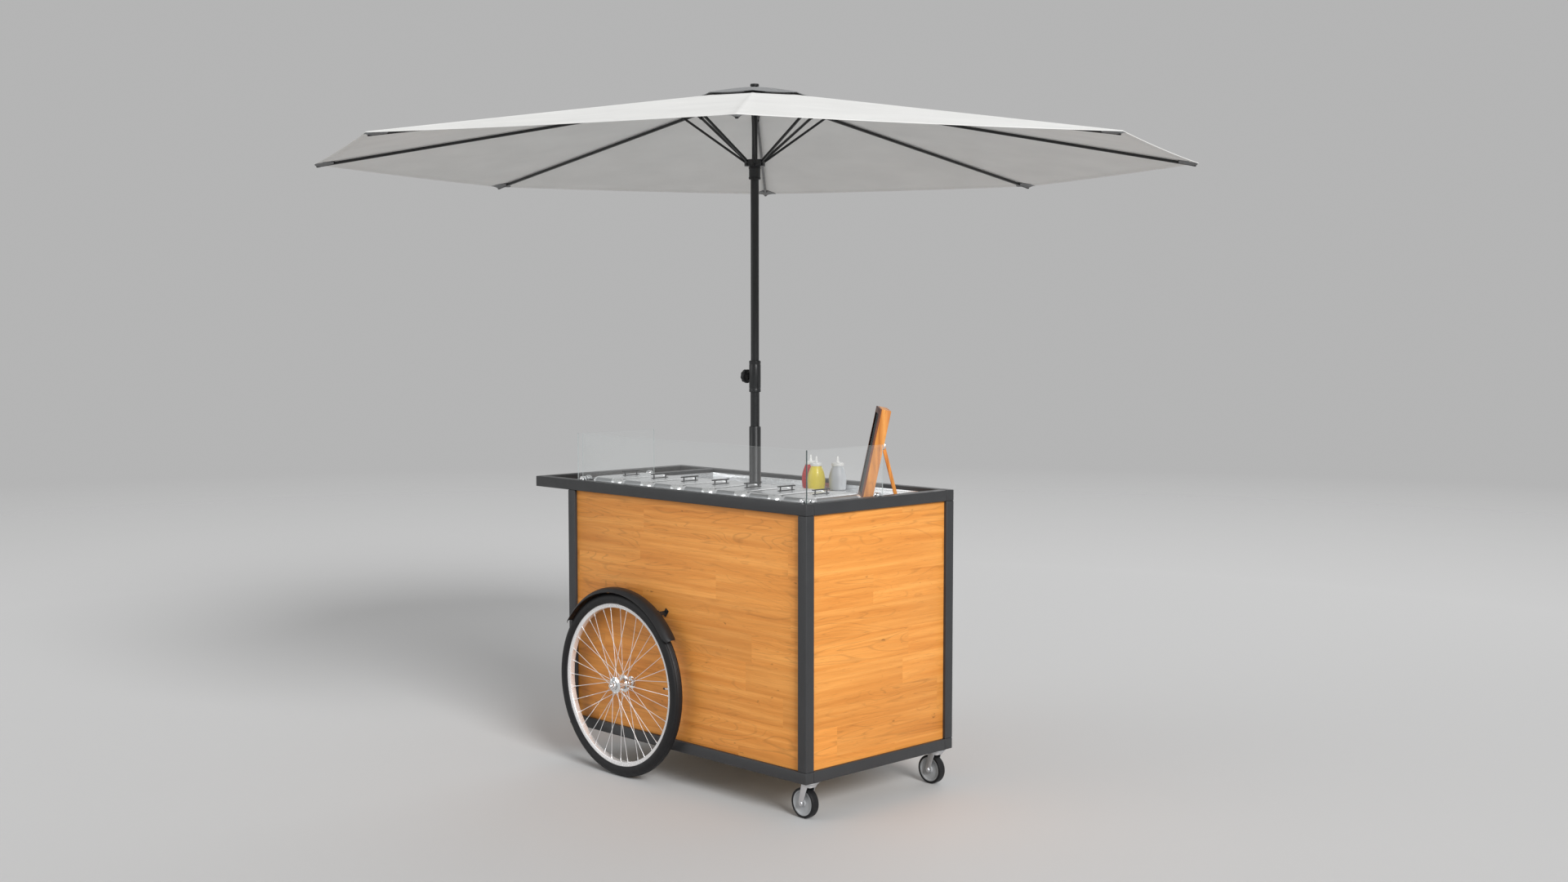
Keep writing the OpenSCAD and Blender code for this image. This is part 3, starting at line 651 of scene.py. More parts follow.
def make_lids():
    for i in range(1, 8):
        low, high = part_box(f"lid_{i}")
        x, y = (low.x + high.x) / 2, (low.y + high.y) / 2
        width, length = high.x - low.x, high.y - low.y
        rise, skirt, taper, corner = 41 * MM, 14 * MM, 17 * MM, 34 * MM
        outer = [(0.0, 0.0), (0.0, skirt)]
        for step in range(1, 9):
            a = pi / 2 * step / 8
            outer.append((taper * (1 - cos(a)), skirt + (rise - skirt - 1.5 * MM) * sin(a)))
        outer += [(taper + 12 * MM, rise - 0.6 * MM), (taper + 30 * MM, rise), (taper + 50 * MM, rise)]
        wall = 1.2 * MM
        inner = [(e + wall, max(z - wall, 0)) for e, z in reversed(outer)]
        loops = []
        for back, z in outer + inner:
            loops.append(rounded_rectangle(width - 2 * back, length - 2 * back, corner - back * 0.55, z, 8))
        shape = moved(vessel(loops, len(outer) - 1), x, y, low.z)
        lid = piece(f"lid_{i}_pressed", shape, f"lid_{i}", "stainless", f"lid_{i}")
        # painted shade: the steep faces of each lid get the darker copy of the lid steel
        lid.data.materials.append(FINISHES["lid_wall_steel_painted_shade"])
        steep, sliver = 0.55, 1e-4
        for face in lid.data.polygons:
            if max(abs(face.normal.x), abs(face.normal.y)) > steep and face.area > sliver:
                face.material_index = 1
        top_z, bar_z = low.z + rise, high.z
        parts = [
            box((x - 2.6 * MM, y - 40 * MM, bar_z - 4.6 * MM), (x + 2.6 * MM, y + 40 * MM, bar_z), 1 * MM),
            box((x - 3.4 * MM, y - 37 * MM, top_z), (x + 3.4 * MM, y + 37 * MM, top_z + 2.4 * MM), 0.8 * MM),
        ]
        for dy in (-27 * MM, 27 * MM):
            parts.append(rod((x, y + dy, top_z), (x, y + dy, bar_z - 2 * MM), 2.4 * MM, 12))
        piece(f"lid_{i}_handle", join(*parts), f"lid_{i}", "black_plastic")


def make_glass():
    for label, (low, high) in zip(("front", "left", "right"), node_boxes("glass_panels")):
        names = ("glass_panels",) if label == "front" else ()
        obj = piece(f"glass_{label}_pane", box(low, high, 0.7 * MM, 1), "cart", "guard_glass", *names)
        obj.data.materials.append(FINISHES["glass_edge"])
        obj.data.materials.append(FINISHES["pane_corner_painted_shade"])
        thin = min(range(3), key=lambda a: high[a] - low[a])
        for face in obj.data.polygons:
            # painted shade: the front pane's end face at the corner gets the dark edge glass, the other edges
            # the light one
            if label == "front" and face.normal.x > 0.5:
                face.material_index = 2
            elif abs(face.normal[thin]) < 0.5:
                face.material_index = 1


def make_clamps():
    shapes = []
    reach, thick = 11 * MM, 5 * MM
    outline = [Vector((reach * cos(a), reach * sin(a), 0)) for a in [pi * i / 20 for i in range(21)]]
    outline = [Vector((-reach, -3 * MM, 0)), Vector((reach, -3 * MM, 0))] + outline
    button = lathe(mm([(0, 0), (5, 0), (5, 0.7), (4, 1.4), (1.6, 1.6), (1.3, 0.9), (0, 0.9)]), 20)
    for low, high in node_boxes("glass_clamps"):
        size = high - low
        thin = 0 if size.x < size.y else 1
        at = (low + high) / 2
        at.z = low.z + 3 * MM
        half = slab(outline, thick, 1.3 * MM)
        pane = min(node_boxes("glass_panels"), key=lambda b: abs((b[0][thin] + b[1][thin]) / 2 - at[thin]))
        outward = 1 if at[thin] > (pane[0][thin] + pane[1][thin]) / 2 else -1
        turn = turned(90, "Z") if thin == 0 else Matrix.Identity(4)
        face = turned(90, "X")
        shape = join(moved(half, z=-thick / 2), moved(button, y=2 * MM, z=thick / 2 - 0.3 * MM))
        flip = Matrix.Identity(4)
        wants = outward if thin == 0 else -outward
        if wants < 0:
            flip = turned(180, "Z")
        shapes.append(placed(shape, Matrix.Translation(at) @ flip @ turn @ face))
    piece("glass_clamp_halves", join(*shapes), "cart", "chrome", "glass_clamps")


# ---------- umbrella ----------

FALL = radians(9.264)
BAY = radians(22.5)
CANOPY_R = 1.545
APEX = 2.4
SLOPE = tan(FALL)
PIN_R = 28 * MM
RIB_PIN_Z = APEX - SLOPE * PIN_R - 9.5 * MM / cos(FALL)
STRUT_OUT = 300 * MM
HOLE_R = 120 * MM


def bay(k):
    """The turn that takes the first rib's place to rib k's."""
    return turned(45 * (k - 1), "Z")


def make_poles():
    low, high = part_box("umbrella_socket")
    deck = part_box("worktop")[1].z
    floor = low.z
    cup = [(16.3, 1), (54, 0), (55, 1), (55, 3), (53.5, 4), (28, 4.5), (25, 7), (24, 10), (24, 68),
           (22.5, 70), (17.5, 70), (16.3, 68)]
    cup = lathe(mm(cup, floor), 56)
    sleeve = mm([(16.4, -142), (19.5, -142), (20.5, -140), (20.5, -4), (20.5, 0), (37, 0), (38, 1),
                 (38, 2.6), (36.6, 4), (25, 4.6), (21.8, 6.5), (20.5, 10)], deck)
    sleeve += mm([(20.5, -3), (19.8, -0.8), (18.6, 0), (17.2, 0), (16.4, -1)], high.z)
    sleeve = lathe(sleeve, 56)
    bolts = []
    for i in range(4):
        a = pi / 4 + pi / 2 * i
        bolts.append(moved(screw(3.2 * MM, (0, 0, 1)), 30 * MM * cos(a), 30 * MM * sin(a), deck + 4.2 * MM))
        bolts.append(moved(screw(4 * MM, (0, 0, 1)), 43 * MM * cos(a), 43 * MM * sin(a), floor + 4 * MM))
    piece("umbrella_sleeve", join(cup, sleeve), "cart", "umbrella_paint", "umbrella_socket")
    piece("umbrella_sleeve_screws", join(*bolts), "cart", "zinc")

    low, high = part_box("pole_lower")
    collar = high.z - 111 * MM
    outline = mm([(15, 0), (15.4, 0), (16, 1)], low.z)
    outline += mm([(16, 0), (19.3, 0), (20.4, 1.5), (20.5, 10), (19.9, 11.5), (19.9, 14), (20.5, 15.5)],
                  collar)
    outline += mm([(20.5, -15.5), (19.9, -14), (19.9, -11.5), (20.5, -10), (20.4, -2.5), (18.6, 0),
                   (15, 0), (14.7, -1)], high.z)
    piece("mast_lower_tube", lathe(outline, 56), "mast_lower", "umbrella_paint", "pole_lower")

    low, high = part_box("pole_upper")
    step = 2.125
    outline = mm([(0, 0), (13.5, 0), (14.5, 1)], low.z)
    outline += mm([(14.5, -8), (14.2, -3), (12.5, -0.5), (10.5, 0), (10, 1)], step)
    outline += mm([(10, 0), (0, 0)], high.z)
    piece("mast_upper_tube", lathe(outline, 48), "mast_upper", "umbrella_paint", "pole_upper")


def make_knob():
    low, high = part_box("collar_knob")
    z = (low.z + high.z) / 2
    grip = [(15, 0.0, 0), (23.2, 0.4, 0.0), (24.6, 2.0, 0.6), (25, 4.0, 1.0), (25, 11.5, 1.0),
            (24.2, 14, 0.7), (21.5, 15.6, 0.2), (16, 16, 0), (14, 15.2, 0), (8, 14.6, 0)]
    disc = moved(fluted(grip, 9, 1.3, 72), z=35 * MM)
    neck = lathe(mm([(0, 24), (10, 24), (11, 25), (11, 33), (13, 35.4), (0, 35.4)]), 32)
    stud = rod((0, 0, 15 * MM), (0, 0, 25 * MM), 3 * MM, 16, 0.4 * MM)
    at = Matrix.Translation((0, 0, z)) @ turned(-90, "Y")
    piece("mast_knob", placed(join(disc, neck), at), "clamp_knob", "black_plastic", "collar_knob")
    piece("mast_knob_screw", placed(stud, at), "clamp_knob", "zinc")


def rib_place(k):
    """Local frame of a rib: +X runs out along it from its pin, +Z is up from it."""
    return bay(k) @ Matrix.Translation((PIN_R, 0, RIB_PIN_Z)) @ Matrix.Rotation(FALL, 4, "Y")


def link_end(length, half):
    """The flat tongue of a rib or strut with the round eye for its pin, which is at the origin."""
    tongue = box((-1 * MM, -2 * MM, -half), (length, 2 * MM, half), 0.5 * MM, 1)
    eye = lathe(mm([(0, -2), (4.2, -2), (4.5, -1.6), (4.5, 1.6), (4.2, 2), (0, 2)]), 20)
    return join(tongue, placed(eye, turned(90, "X")))


def make_ribs():
    length = (CANOPY_R - PIN_R) / cos(FALL) - 8 * MM
    reach = (STRUT_OUT - PIN_R) / cos(FALL)
    for k in range(1, 9):
        bar = box((24 * MM, -4.4 * MM, -4.6 * MM), (length - 14 * MM, 4.4 * MM, 5.4 * MM), 1.3 * MM)
        piece(f"rib_{k}_bar", placed(join(bar, link_end(26 * MM, 4 * MM)), rib_place(k)), f"rib_{k}",
              "umbrella_paint", f"rib_{k}")
        cap = box((length - 15 * MM, -4.7 * MM, -5 * MM), (length, 4.7 * MM, 5.6 * MM), 2.2 * MM)
        rivets = []
        for side in (-1, 1):
            rivet = lathe(mm([(0, 0), (2.6, 0), (2.3, 0.5), (1.2, 0.75), (0, 0.8)]), 14)
            rivet = placed(rivet, turned(-90 * side, "X"))
            rivets.append(moved(rivet, reach + 18 * MM, side * 4.4 * MM, 0))
        piece(f"rib_{k}_tip", placed(join(cap, *rivets), rib_place(k)), f"rib_{k}", "black_plastic")


def make_struts():
    hub_r, hub_z = 30 * MM, 2.15
    out, up = STRUT_OUT - hub_r, RIB_PIN_Z - SLOPE * (STRUT_OUT - PIN_R) - hub_z
    length, lean = sqrt(out * out + up * up), atan2(up, out)
    for k in range(1, 9):
        bar = box((15 * MM, -4 * MM, -4 * MM), (length - 28 * MM, 4 * MM, 4 * MM), 1.2 * MM)
        yoke = box((length - 31 * MM, -7.8 * MM, -4 * MM), (length - 25 * MM, 7.8 * MM, 4 * MM), 0.8 * MM, 2)
        parts = [bar, link_end(18 * MM, 3.9 * MM), yoke]
        for side in (-1, 1):
            ear = [Vector((4 * MM * cos(a), 4 * MM * sin(a), 0)) for a in
                   [-pi / 2 + pi * i / 10 for i in range(11)]]
            ear = [Vector((-31 * MM, 4 * MM, 0)), Vector((-31 * MM, -4 * MM, 0))] + ear
            plate = placed(slab(ear, 2 * MM, 0.5 * MM), turned(90, "X"))
            parts.append(moved(plate, length + 1.6 * MM, side * 6.8 * MM + 1 * MM, 0))
            pin = rod((length, side * 5.9 * MM, 0), (length, side * 9.3 * MM, 0), 2.4 * MM, 14, 0.6 * MM)
            parts.append(pin)
        at = bay(k) @ Matrix.Translation((hub_r, 0, hub_z)) @ Matrix.Rotation(-lean, 4, "Y")
        piece(f"strut_{k}_bar", placed(join(*parts), at), f"strut_{k}", "umbrella_paint", f"strut_{k}")


def cloth_height(out, across):
    """Height of the stretched cloth over a point out along a rib and across from it."""
    return APEX - SLOPE * (out + abs(across) * tan(BAY))


def petal_point(share, seam, rest, side):
    """A point of the petal about a rib along +X. share runs from the vent hole to the eave, rest
    from the seam's edge to mid-bay, and the cloth hangs and curves in a little between the ribs."""
    corner = HOLE_R + (CANOPY_R - HOLE_R) * share
    across = seam + (corner * cos(BAY) * sin(BAY) - seam) * rest
    spare = 1 - (1 - rest) ** 2
    out = corner - across * tan(BAY) - 3 * MM * spare * share ** 6
    return Vector((out, side * across, cloth_height(out, across) - 3.5 * MM * spare * share))


def petal(k):
    """One eighth of the canopy, from mid-bay to mid-bay about its rib, with its seam and hem."""
    rows = [i / 26 for i in range(26)] + [0.9835, 0.985, 1.0]
    bays = [0.06, 0.14, 0.24, 0.36, 0.5, 0.64, 0.78, 0.9, 1.0]
    half = [(6 * MM, 0.0, True), (7.4 * MM, 0.0, False)] + [(7.4 * MM, bay, False) for bay in bays]
    columns = [(*c, -1) for c in reversed(half)] + [(0.0, 0.0, True, 1)] + [(*c, 1) for c in half]
    cloth, raised, hem = 1.2 * MM, 0.7 * MM, 1.3 * MM
    top, under = [], []
    for share in rows:
        for seam, rest, on_seam, side in columns:
            point = petal_point(share, seam, rest, side)
            lift = raised if on_seam else 0.0
            top.append(point + Vector((0, 0, lift)))
            under.append(point - Vector((0, 0, cloth + (hem if share > 0.984 else 0.0))))
    n, m = len(columns), len(rows)
    faces = []
    base = len(top)
    for j in range(m - 1):
        for i in range(n - 1):
            a = j * n + i
            faces.append((a, a + 1, a + n + 1, a + n))
            faces.append((base + a, base + a + n, base + a + n + 1, base + a + 1))
    rim = list(range(n)) + [j * n + n - 1 for j in range(1, m)]
    rim += [(m - 1) * n + i for i in range(n - 2, -1, -1)] + [j * n for j in range(m - 2, 0, -1)]
    for a, b in zip(rim, rim[1:] + rim[:1]):
        faces.append((a, b, base + b, base + a))
    return placed((top + under, faces), bay(k))


def pocket(k):
    """The reinforced corner under a rib's end: a flat patch, swollen along the middle by the rib."""
    loops = []
    for back, wide, deep in ((2, 4, 2), (5, 10, 7), (12, 26, 11), (20, 44, 12.5), (28, 46, 12.6),
                             (38, 40, 12.6), (52, 26, 12.6), (66, 15, 12.6), (70, 13, 11.5)):
        out = CANOPY_R - back * MM
        half = min(wide, back / tan(BAY) * 0.93) * MM
        upper, lower = [], []
        for i in range(-8, 9):
            y = half * i / 8
            top = cloth_height(out, y) - 1.4 * MM - 3.5 * MM * abs(y) / (out * 0.35)
            swell = (deep - 2) * MM / (1 + (y / (9 * MM)) ** 4)
            upper.append(Vector((out, y, top)))
            lower.append(Vector((out, y, top - 1.6 * MM - swell)))
        loops.append(upper + lower[::-1])
    return placed(skin(loops), bay(k))


def make_canopy():
    for k in range(1, 9):
        obj = piece(f"canopy_petal_{k}", petal(k), f"rib_{k}", "canopy_fabric", "canopy", crease=50)
        # painted shade: the pockets get the dark grey cap cloth instead of the pale canopy cloth, for the
        # shade under the eave
        patch = piece(f"canopy_pocket_{k}", pocket(k), f"rib_{k}", "cap_fabric", crease=60)
        for cloth in (obj, patch):
            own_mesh(cloth)


def make_vent_cap():
    low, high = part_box("vent_cap")
    radius = 210 * MM
    rise = high.z - low.z - 2.5 * MM
    base_z = low.z + 2.5 * MM
    spread = [1.0, 0.985, 0.94, 0.85, 0.72, 0.58, 0.44, 0.3, 0.18, 0.09, 0.035]
    per_side = 8
    loops_top, loops_under = [], []
    for share in spread:
        loop = []
        for side in range(8):
            for i in range(per_side):
                v = i / per_side
                a, b = radians(45 * side), radians(45 * (side + 1))
                corner = Vector((cos(a), sin(a), 0)) * (1 - v) + Vector((cos(b), sin(b), 0)) * v
                bow = 4 * v * (1 - v)
                point = corner * radius * share * (1 - 0.012 * bow)
                sag = 2 * MM * bow * share
                point.z = base_z + 4 * MM * share + rise * (1 - share ** 1.25) - sag
                loop.append(point)
        loops_top.append(loop)
        thick = 2.2 * MM if share > 0.95 else 1.2 * MM
        loops_under.append([p - Vector((0, 0, thick)) for p in loop])
    shape = skin(loops_under + loops_top[::-1], ring=True)
    obj = piece("vent_cap_cloth", shape, "mast_upper", "cap_fabric", "vent_cap", crease=50)


def make_crown():
    for node in ("crown", "runner"):
        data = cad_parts[node].data
        data.materials.clear()
        data.materials.append(FINISHES["umbrella_paint"])
    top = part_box("crown")[1].z
    cap = lathe(mm([(0, -8), (14, -8), (15.6, -6.5), (15.6, -4), (13, -1.4), (8, -0.2), (0, 0)], top), 40)
    piece("mast_finial", cap, "mast_upper", "black_plastic")
    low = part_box("runner")[0]
    grip = [(20.3, 2), (21.2, 3), (21.2, 7), (20.3, 8), (19, 8), (19, 2)]
    rings = [lathe(mm([(r, z + lift) for r, z in grip], low.z), 40) for lift in (0, 34)]
    piece("runner_bands", join(*rings), "runner", "black_plastic")


# ---------- wheels ----------

RIM_OUT, RIM_IN = 287 * MM, 272 * MM
SPOKES = 36
SPOKE_TWIST, SPOKE_SHIFT = 24, 1.4 * MM
FLANGE_R, FLANGE_Y = 29.5 * MM, 20.75 * MM


def wheel_place(side):
    """Local frame of a big wheel: +Z out along the axle, away from the cart. side is -1 at the front."""
    hub = middle("tyre_front" if side < 0 else "tyre_rear")
    return Matrix.Translation(hub) @ turned(0 if side < 0 else 180, "Z") @ turned(90, "X")


def make_wheel(side, label):
    place, body = wheel_place(side), f"big_wheel_{label}"
    outline = []
    centre, section = 302.3 * MM, 21.7 * MM
    start = 2.34
    for i in range(61):
        a = -start + 2 * start * i / 60
        groove = 0.9 * MM if any(abs(abs(a) - g) < 0.05 for g in (0.16, 0.52)) else 0.0
        if abs(abs(a) - 1.9) < 0.06:
            groove = -0.25 * MM
        r = section - groove
        outline.append((centre + r * cos(a), r * sin(a)))
    outline += [(RIM_OUT + 0.3 * MM, 9 * MM), (RIM_OUT + 0.3 * MM, -9 * MM)]
    piece(f"tyre_{label}_rubber", placed(lathe(outline, 120), place), body, "tyre", f"tyre_{label}",
          crease=25)

    rim = [(RIM_IN, -8.6), (RIM_IN + 0.5 * MM, -9.8), (RIM_IN + 2 * MM, -10.9), (RIM_IN + 4 * MM, -11.3),
           (RIM_OUT - 3 * MM, -11.4), (RIM_OUT - 1.6 * MM, -11.9), (RIM_OUT + 0.6 * MM, -11.6),
           (RIM_OUT + 0.8 * MM, -10.2), (RIM_OUT - 1 * MM, -9.6), (RIM_OUT - 5 * MM, -8.5)]
    rim = [(r, y * MM) for r, y in rim]
    rim += [(r, -y) for r, y in reversed(rim)]
    piece(f"wheel_{label}_rim", placed(lathe(rim, 120), place), body, "rim_alloy", f"wheel_{label}",
          slot="chrome", crease=35)

    parts = []
    for i in range(SPOKES):
        a = 2 * pi * i / SPOKES
        face = 1 if i % 2 == 0 else -1
        lean = 1 if i // 2 % 2 == 0 else -1
        b = a + lean * radians(SPOKE_TWIST)
        start = Vector(((FLANGE_R - 2.6 * MM) * cos(b), (FLANGE_R - 2.6 * MM) * sin(b),
                        face * (FLANGE_Y + lean * SPOKE_SHIFT)))
        end = Vector((RIM_IN * cos(a), RIM_IN * sin(a), face * (3 * MM + lean * SPOKE_SHIFT)))
        way = (end - start).normalized()
        parts.append(rod(start, end, 1.05 * MM, 8))
        parts.append(rod(end - 11 * MM * way, end + 1 * MM * way, 2 * MM, 8, 0.5 * MM))
        head = start + Vector((0, 0, lean * 0.9 * MM * face))
        half_head = Vector((0, 0, 1.6 * MM))
        parts.append(rod(head - half_head, head + half_head, 2.1 * MM, 8, 0.5 * MM))
    valve = Vector((cos(pi / 36), sin(pi / 36), 0))
    parts.append(rod(valve * (RIM_IN - 26 * MM), valve * (RIM_IN + 2 * MM), 2.8 * MM, 12, 0.6 * MM))
    piece(f"wheel_{label}_spokes", placed(join(*parts), place), body, "spoke_steel", slot="chrome")

    hub = [(7.9, -30), (12.5, -30), (15, -28.6), (16.4, -24.4), (19, -23.2), (28.2, -22.7), (29.5, -21.9),
           (29.5, -19.8), (28.4, -19), (19.5, -17.6), (17.2, -14), (15.2, -8), (14.6, 0)]
    hub += [(r, -y) for r, y in reversed(hub[:-1])]
    piece(f"wheel_{label}_hub", placed(lathe(mm(hub), 64), place), body, "chrome",
          crease=40)
    cap = rod(valve * (RIM_IN - 34 * MM), valve * (RIM_IN - 24 * MM), 3.6 * MM, 14, 0.8 * MM)
    piece(f"wheel_{label}_valve_cap", placed(cap, place), body, "black_plastic")


def hexagon(across, height, edge):
    outline = [Vector((across * cos(pi / 3 * i), across * sin(pi / 3 * i), 0)) for i in range(6)]
    return slab(outline, height, edge)


def make_axle():
    low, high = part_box("axle")
    centre = middle("tyre_front")
    x, z = centre.x, centre.z
    parts, black = [], []
    for side in (-1, 1):
        hub_y = side * abs(centre.y)
        flip = turned(90, "X") if side < 0 else turned(-90, "X")
        at = Matrix.Translation((x, hub_y, z)) @ flip
        nut = moved(hexagon(13 * MM, 7.8 * MM, 1 * MM), z=31.4 * MM)
        washer = moved(lathe(mm([(7.4, 0), (12.4, 0), (12.8, 0.4), (12.4, 1.1), (7.4, 1.1)]), 32),
                       z=30.4 * MM)
        dome = mm([(0, 38), (7.5, 38), (7.5, 43.5), (6.6, 45), (0, 45.8)])
        parts += [placed(s, at) for s in (nut, washer, lathe(dome, 28))]
        spacer_end = abs(centre.y) - 30.2 * MM
        wall = abs(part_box("front_panel")[0].y)
        parts.append(rod((x, side * spacer_end, z), (x, side * wall, z), 11 * MM, 32, 0.8 * MM))
        flange = lathe(mm([(0, 0), (22, 0), (22, 1), (20.5, 2), (12, 2.4), (0, 2.4)]), 40)
        parts.append(placed(flange, Matrix.Translation((x, side * wall, z)) @ flip))
    parts.append(rod((x, low.y + 2 * MM, z), (x, high.y - 2 * MM, z), 7.3 * MM, 28, 0.5 * MM))
    sleeve_half, plate_out, plate_in = 333 * MM, 331 * MM, 326 * MM
    plate_low, plate_high = 161 * MM, 374 * MM
    black.append(rod((x, -sleeve_half, z), (x, sleeve_half, z), 14 * MM, 32, 1 * MM))
    for side in (-1, 1):
        ys = sorted((side * plate_out, side * plate_in))
        black.append(box((x - 50 * MM, ys[0], plate_low), (x + 50 * MM, ys[1], plate_high), 1 * MM, 2))
    piece("axle_steel", join(*parts), "cart", "chrome", "axle")
    piece("axle_brackets", join(*black), "cart", "powder_coat")


def make_mudguards():
    crown, bend, half, thick = 344 * MM, 32.5 * MM, 28 * MM, 1.5 * MM
    first, last = radians(34), radians(146)
    centre = crown - bend
    reach = atan2(half, sqrt(bend * bend - half * half)) * 0.985
    steps, ribs = 72, 18
    shapes, tabs, bolts = [], [], []
    for side in (-1, 1):
        place = wheel_place(side)
        loops = []
        for j in range(steps + 1):
            a = first + (last - first) * j / steps
            near = min(a - first, last - a) * crown
            flare = 3.2 * MM * max(0.0, 1 - near / (26 * MM)) ** 2
            narrow = 1 - 0.3 * max(0.0, 1 - near / (22 * MM)) ** 3
            profile = []
            for i in range(ribs + 1):
                t = -reach + 2 * reach * i / ribs
                r = centre + bend * cos(t) + flare
                profile.append((r, bend * sin(t) * narrow))
            inner = [(centre + (bend - thick) * cos(t) + flare, (bend - thick) * sin(t) * narrow)
                     for t in [reach - 2 * reach * i / ribs for i in range(ribs + 1)]]
            loops.append([Vector((r * cos(a), r * sin(a), y)) for r, y in profile + inner])
        shapes.append(placed(skin(loops), place))
        edge_r, edge_y = centre + (bend - thick / 2) * cos(reach), (bend - thick / 2) * sin(reach)
        for way in (-1, 1):
            path = [Vector((edge_r * cos(a), edge_r * sin(a), way * edge_y)) for a in
                    [first + radians(3) + (last - first - radians(6)) * j / steps for j in range(steps + 1)]]
            shapes.append(placed(tube(path, 1.5 * MM, 8), place))
        wall = abs(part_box("front_panel")[0].y)
        gap = abs(middle("tyre_front").y) - wall
        tab_angles = (55, 125)
        for angle in tab_angles:
            turn = place @ turned(angle, "Z")
            strap = box((330 * MM, -9 * MM, -gap), (332.6 * MM, 9 * MM, -half + 3 * MM), 1 * MM, 2)
            foot = box((317 * MM, -9 * MM, -gap), (345 * MM, 9 * MM, -gap + 2.4 * MM), 1 * MM, 2)
            tabs += [placed(strap, turn), placed(foot, turn)]
            for out in (322, 339):
                head = moved(screw(3.4 * MM, (0, 0, 1)), out * MM, 0, -gap + 2.4 * MM)
                bolts.append(placed(head, turn))
            rivet = screw(3 * MM, (1, 0, 0))
            bolts.append(placed(moved(rivet, 343.2 * MM, 0, -12 * MM), turn))
    piece("mudguard_shells", join(*shapes), "cart", "black_plastic", "mudguards")
    piece("mudguard_tabs", join(*tabs), "cart", "black_plastic")
    piece("mudguard_bolts", join(*bolts), "cart", "black_plastic")


# ---------- casters ----------

CASTER_Y = 309.5 * MM
PIVOT_IN = 32 * MM


def make_caster(side, label):
    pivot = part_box("caster_plates")[0].x + PIVOT_IN
    y = side * CASTER_Y
    wheel = middle(f"caster_wheel_{label}")
    fork_top = 117.5 * MM
    race = lathe(mm([(6.2, 0), (24, 0), (26, -1.5), (26, -4.5), (24.4, -6), (22.5, -7), (22.5, -10.5),
                     (21, -11), (6.2, -4)], fork_top), 40)
    parts = [moved(race, pivot, y, 0)]
    low_x, low_z = wheel.x - pivot, wheel.z
    outline = [Vector(p) for p in ((-17 * MM, fork_top - 1 * MM, 0), (low_x - 10 * MM, low_z + 4 * MM, 0))]
    outline += [Vector((low_x + 9.5 * MM * cos(a), low_z + 9.5 * MM * sin(a), 0))
                for a in [pi + 0.25 + (pi - 0.5) * i / 8 for i in range(9)]]
    outline += [Vector(p) for p in ((low_x + 10 * MM, low_z + 4 * MM, 0), (12 * MM, fork_top - 1 * MM, 0))]
    for way in (-1, 1):
        cheek = placed(slab(outline, 3 * MM, 0.8 * MM), turned(90, "X"))
        parts.append(moved(cheek, pivot, y + way * 19 * MM + 1.5 * MM, 0))
        nut = placed(hexagon(7.5 * MM, 2.2 * MM, 0.6 * MM), turned(-90 * way, "X"))
        parts.append(moved(nut, wheel.x, y + way * 20.5 * MM, wheel.z))
    bolt_ends = [(wheel.x, y + end, wheel.z) for end in (-23.3 * MM, 23.3 * MM)]
    parts.append(rod(*bolt_ends, 4.9 * MM, 20, 0.8 * MM))
    piece(f"caster_{label}_fork", join(*parts), f"caster_{label}", "zinc", f"caster_fork_{label}")

    turn = Matrix.Translation(wheel) @ turned(90, "X")
    core = [(5.1, -13.8), (10, -13.8), (11.5, -12.6), (12.2, -9), (15, -8), (33, -8), (36.5, -9.5),
            (38, -12.6), (41.4, -13.2), (42, -12)]
    core += [(r, -h) for r, h in reversed(core)]
    piece(f"caster_{label}_core", placed(lathe(mm(core), 56), turn),
          f"caster_roller_{label}", "caster_plastic", f"caster_wheel_{label}")
    tread = [(41.8, -13), (44, -14), (47.5, -13.9), (49, -13.2), (49.8, -11), (50, -6), (50, 6), (49.8, 11),
             (49, 13.2), (47.5, 13.9), (44, 14), (41.8, 13)]
    piece(f"caster_{label}_tread", placed(lathe(mm(tread), 64), turn),
          f"caster_roller_{label}", "tyre")


def make_caster_plates():
    parts = []
    for low, high in node_boxes("caster_plates"):
        if high.x - low.x < 40 * MM:
            continue
        x, y = (low.x + high.x) / 2, (low.y + high.y) / 2
        plate = mm([(0, 0), (31, 0), (32, -1), (32, -3.4), (30.6, -5), (6, -5)], high.z)
        plate += mm([(6, 106), (9, 105.6), (9, 102), (7.6, 101.3), (0, 101.3)])
        parts.append(moved(lathe(plate, 48), x, y, 0))
    piece("caster_mount_plates", join(*parts), "cart", "zinc", "caster_plates")


# ---------- things on the counter ----------

BOARD = Vector((38, 230, 316)) * MM
BOARD_TURN, BOARD_LEAN, LEG_SPREAD = 45.8, 11.83, 14.34
LEG_AT = Vector((7, 115, 190)) * MM


def board_place():
    """Local frame of the menu board: back face at x = 0, foot at z = 0."""
    at = Vector((0.530, -0.023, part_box("worktop")[1].z + 0.2 * MM))
    return Matrix.Translation(at) @ turned(BOARD_TURN, "Z") \
        @ Matrix.Translation((39.3 * MM, 0, 0)) @ turned(BOARD_LEAN, "Y")


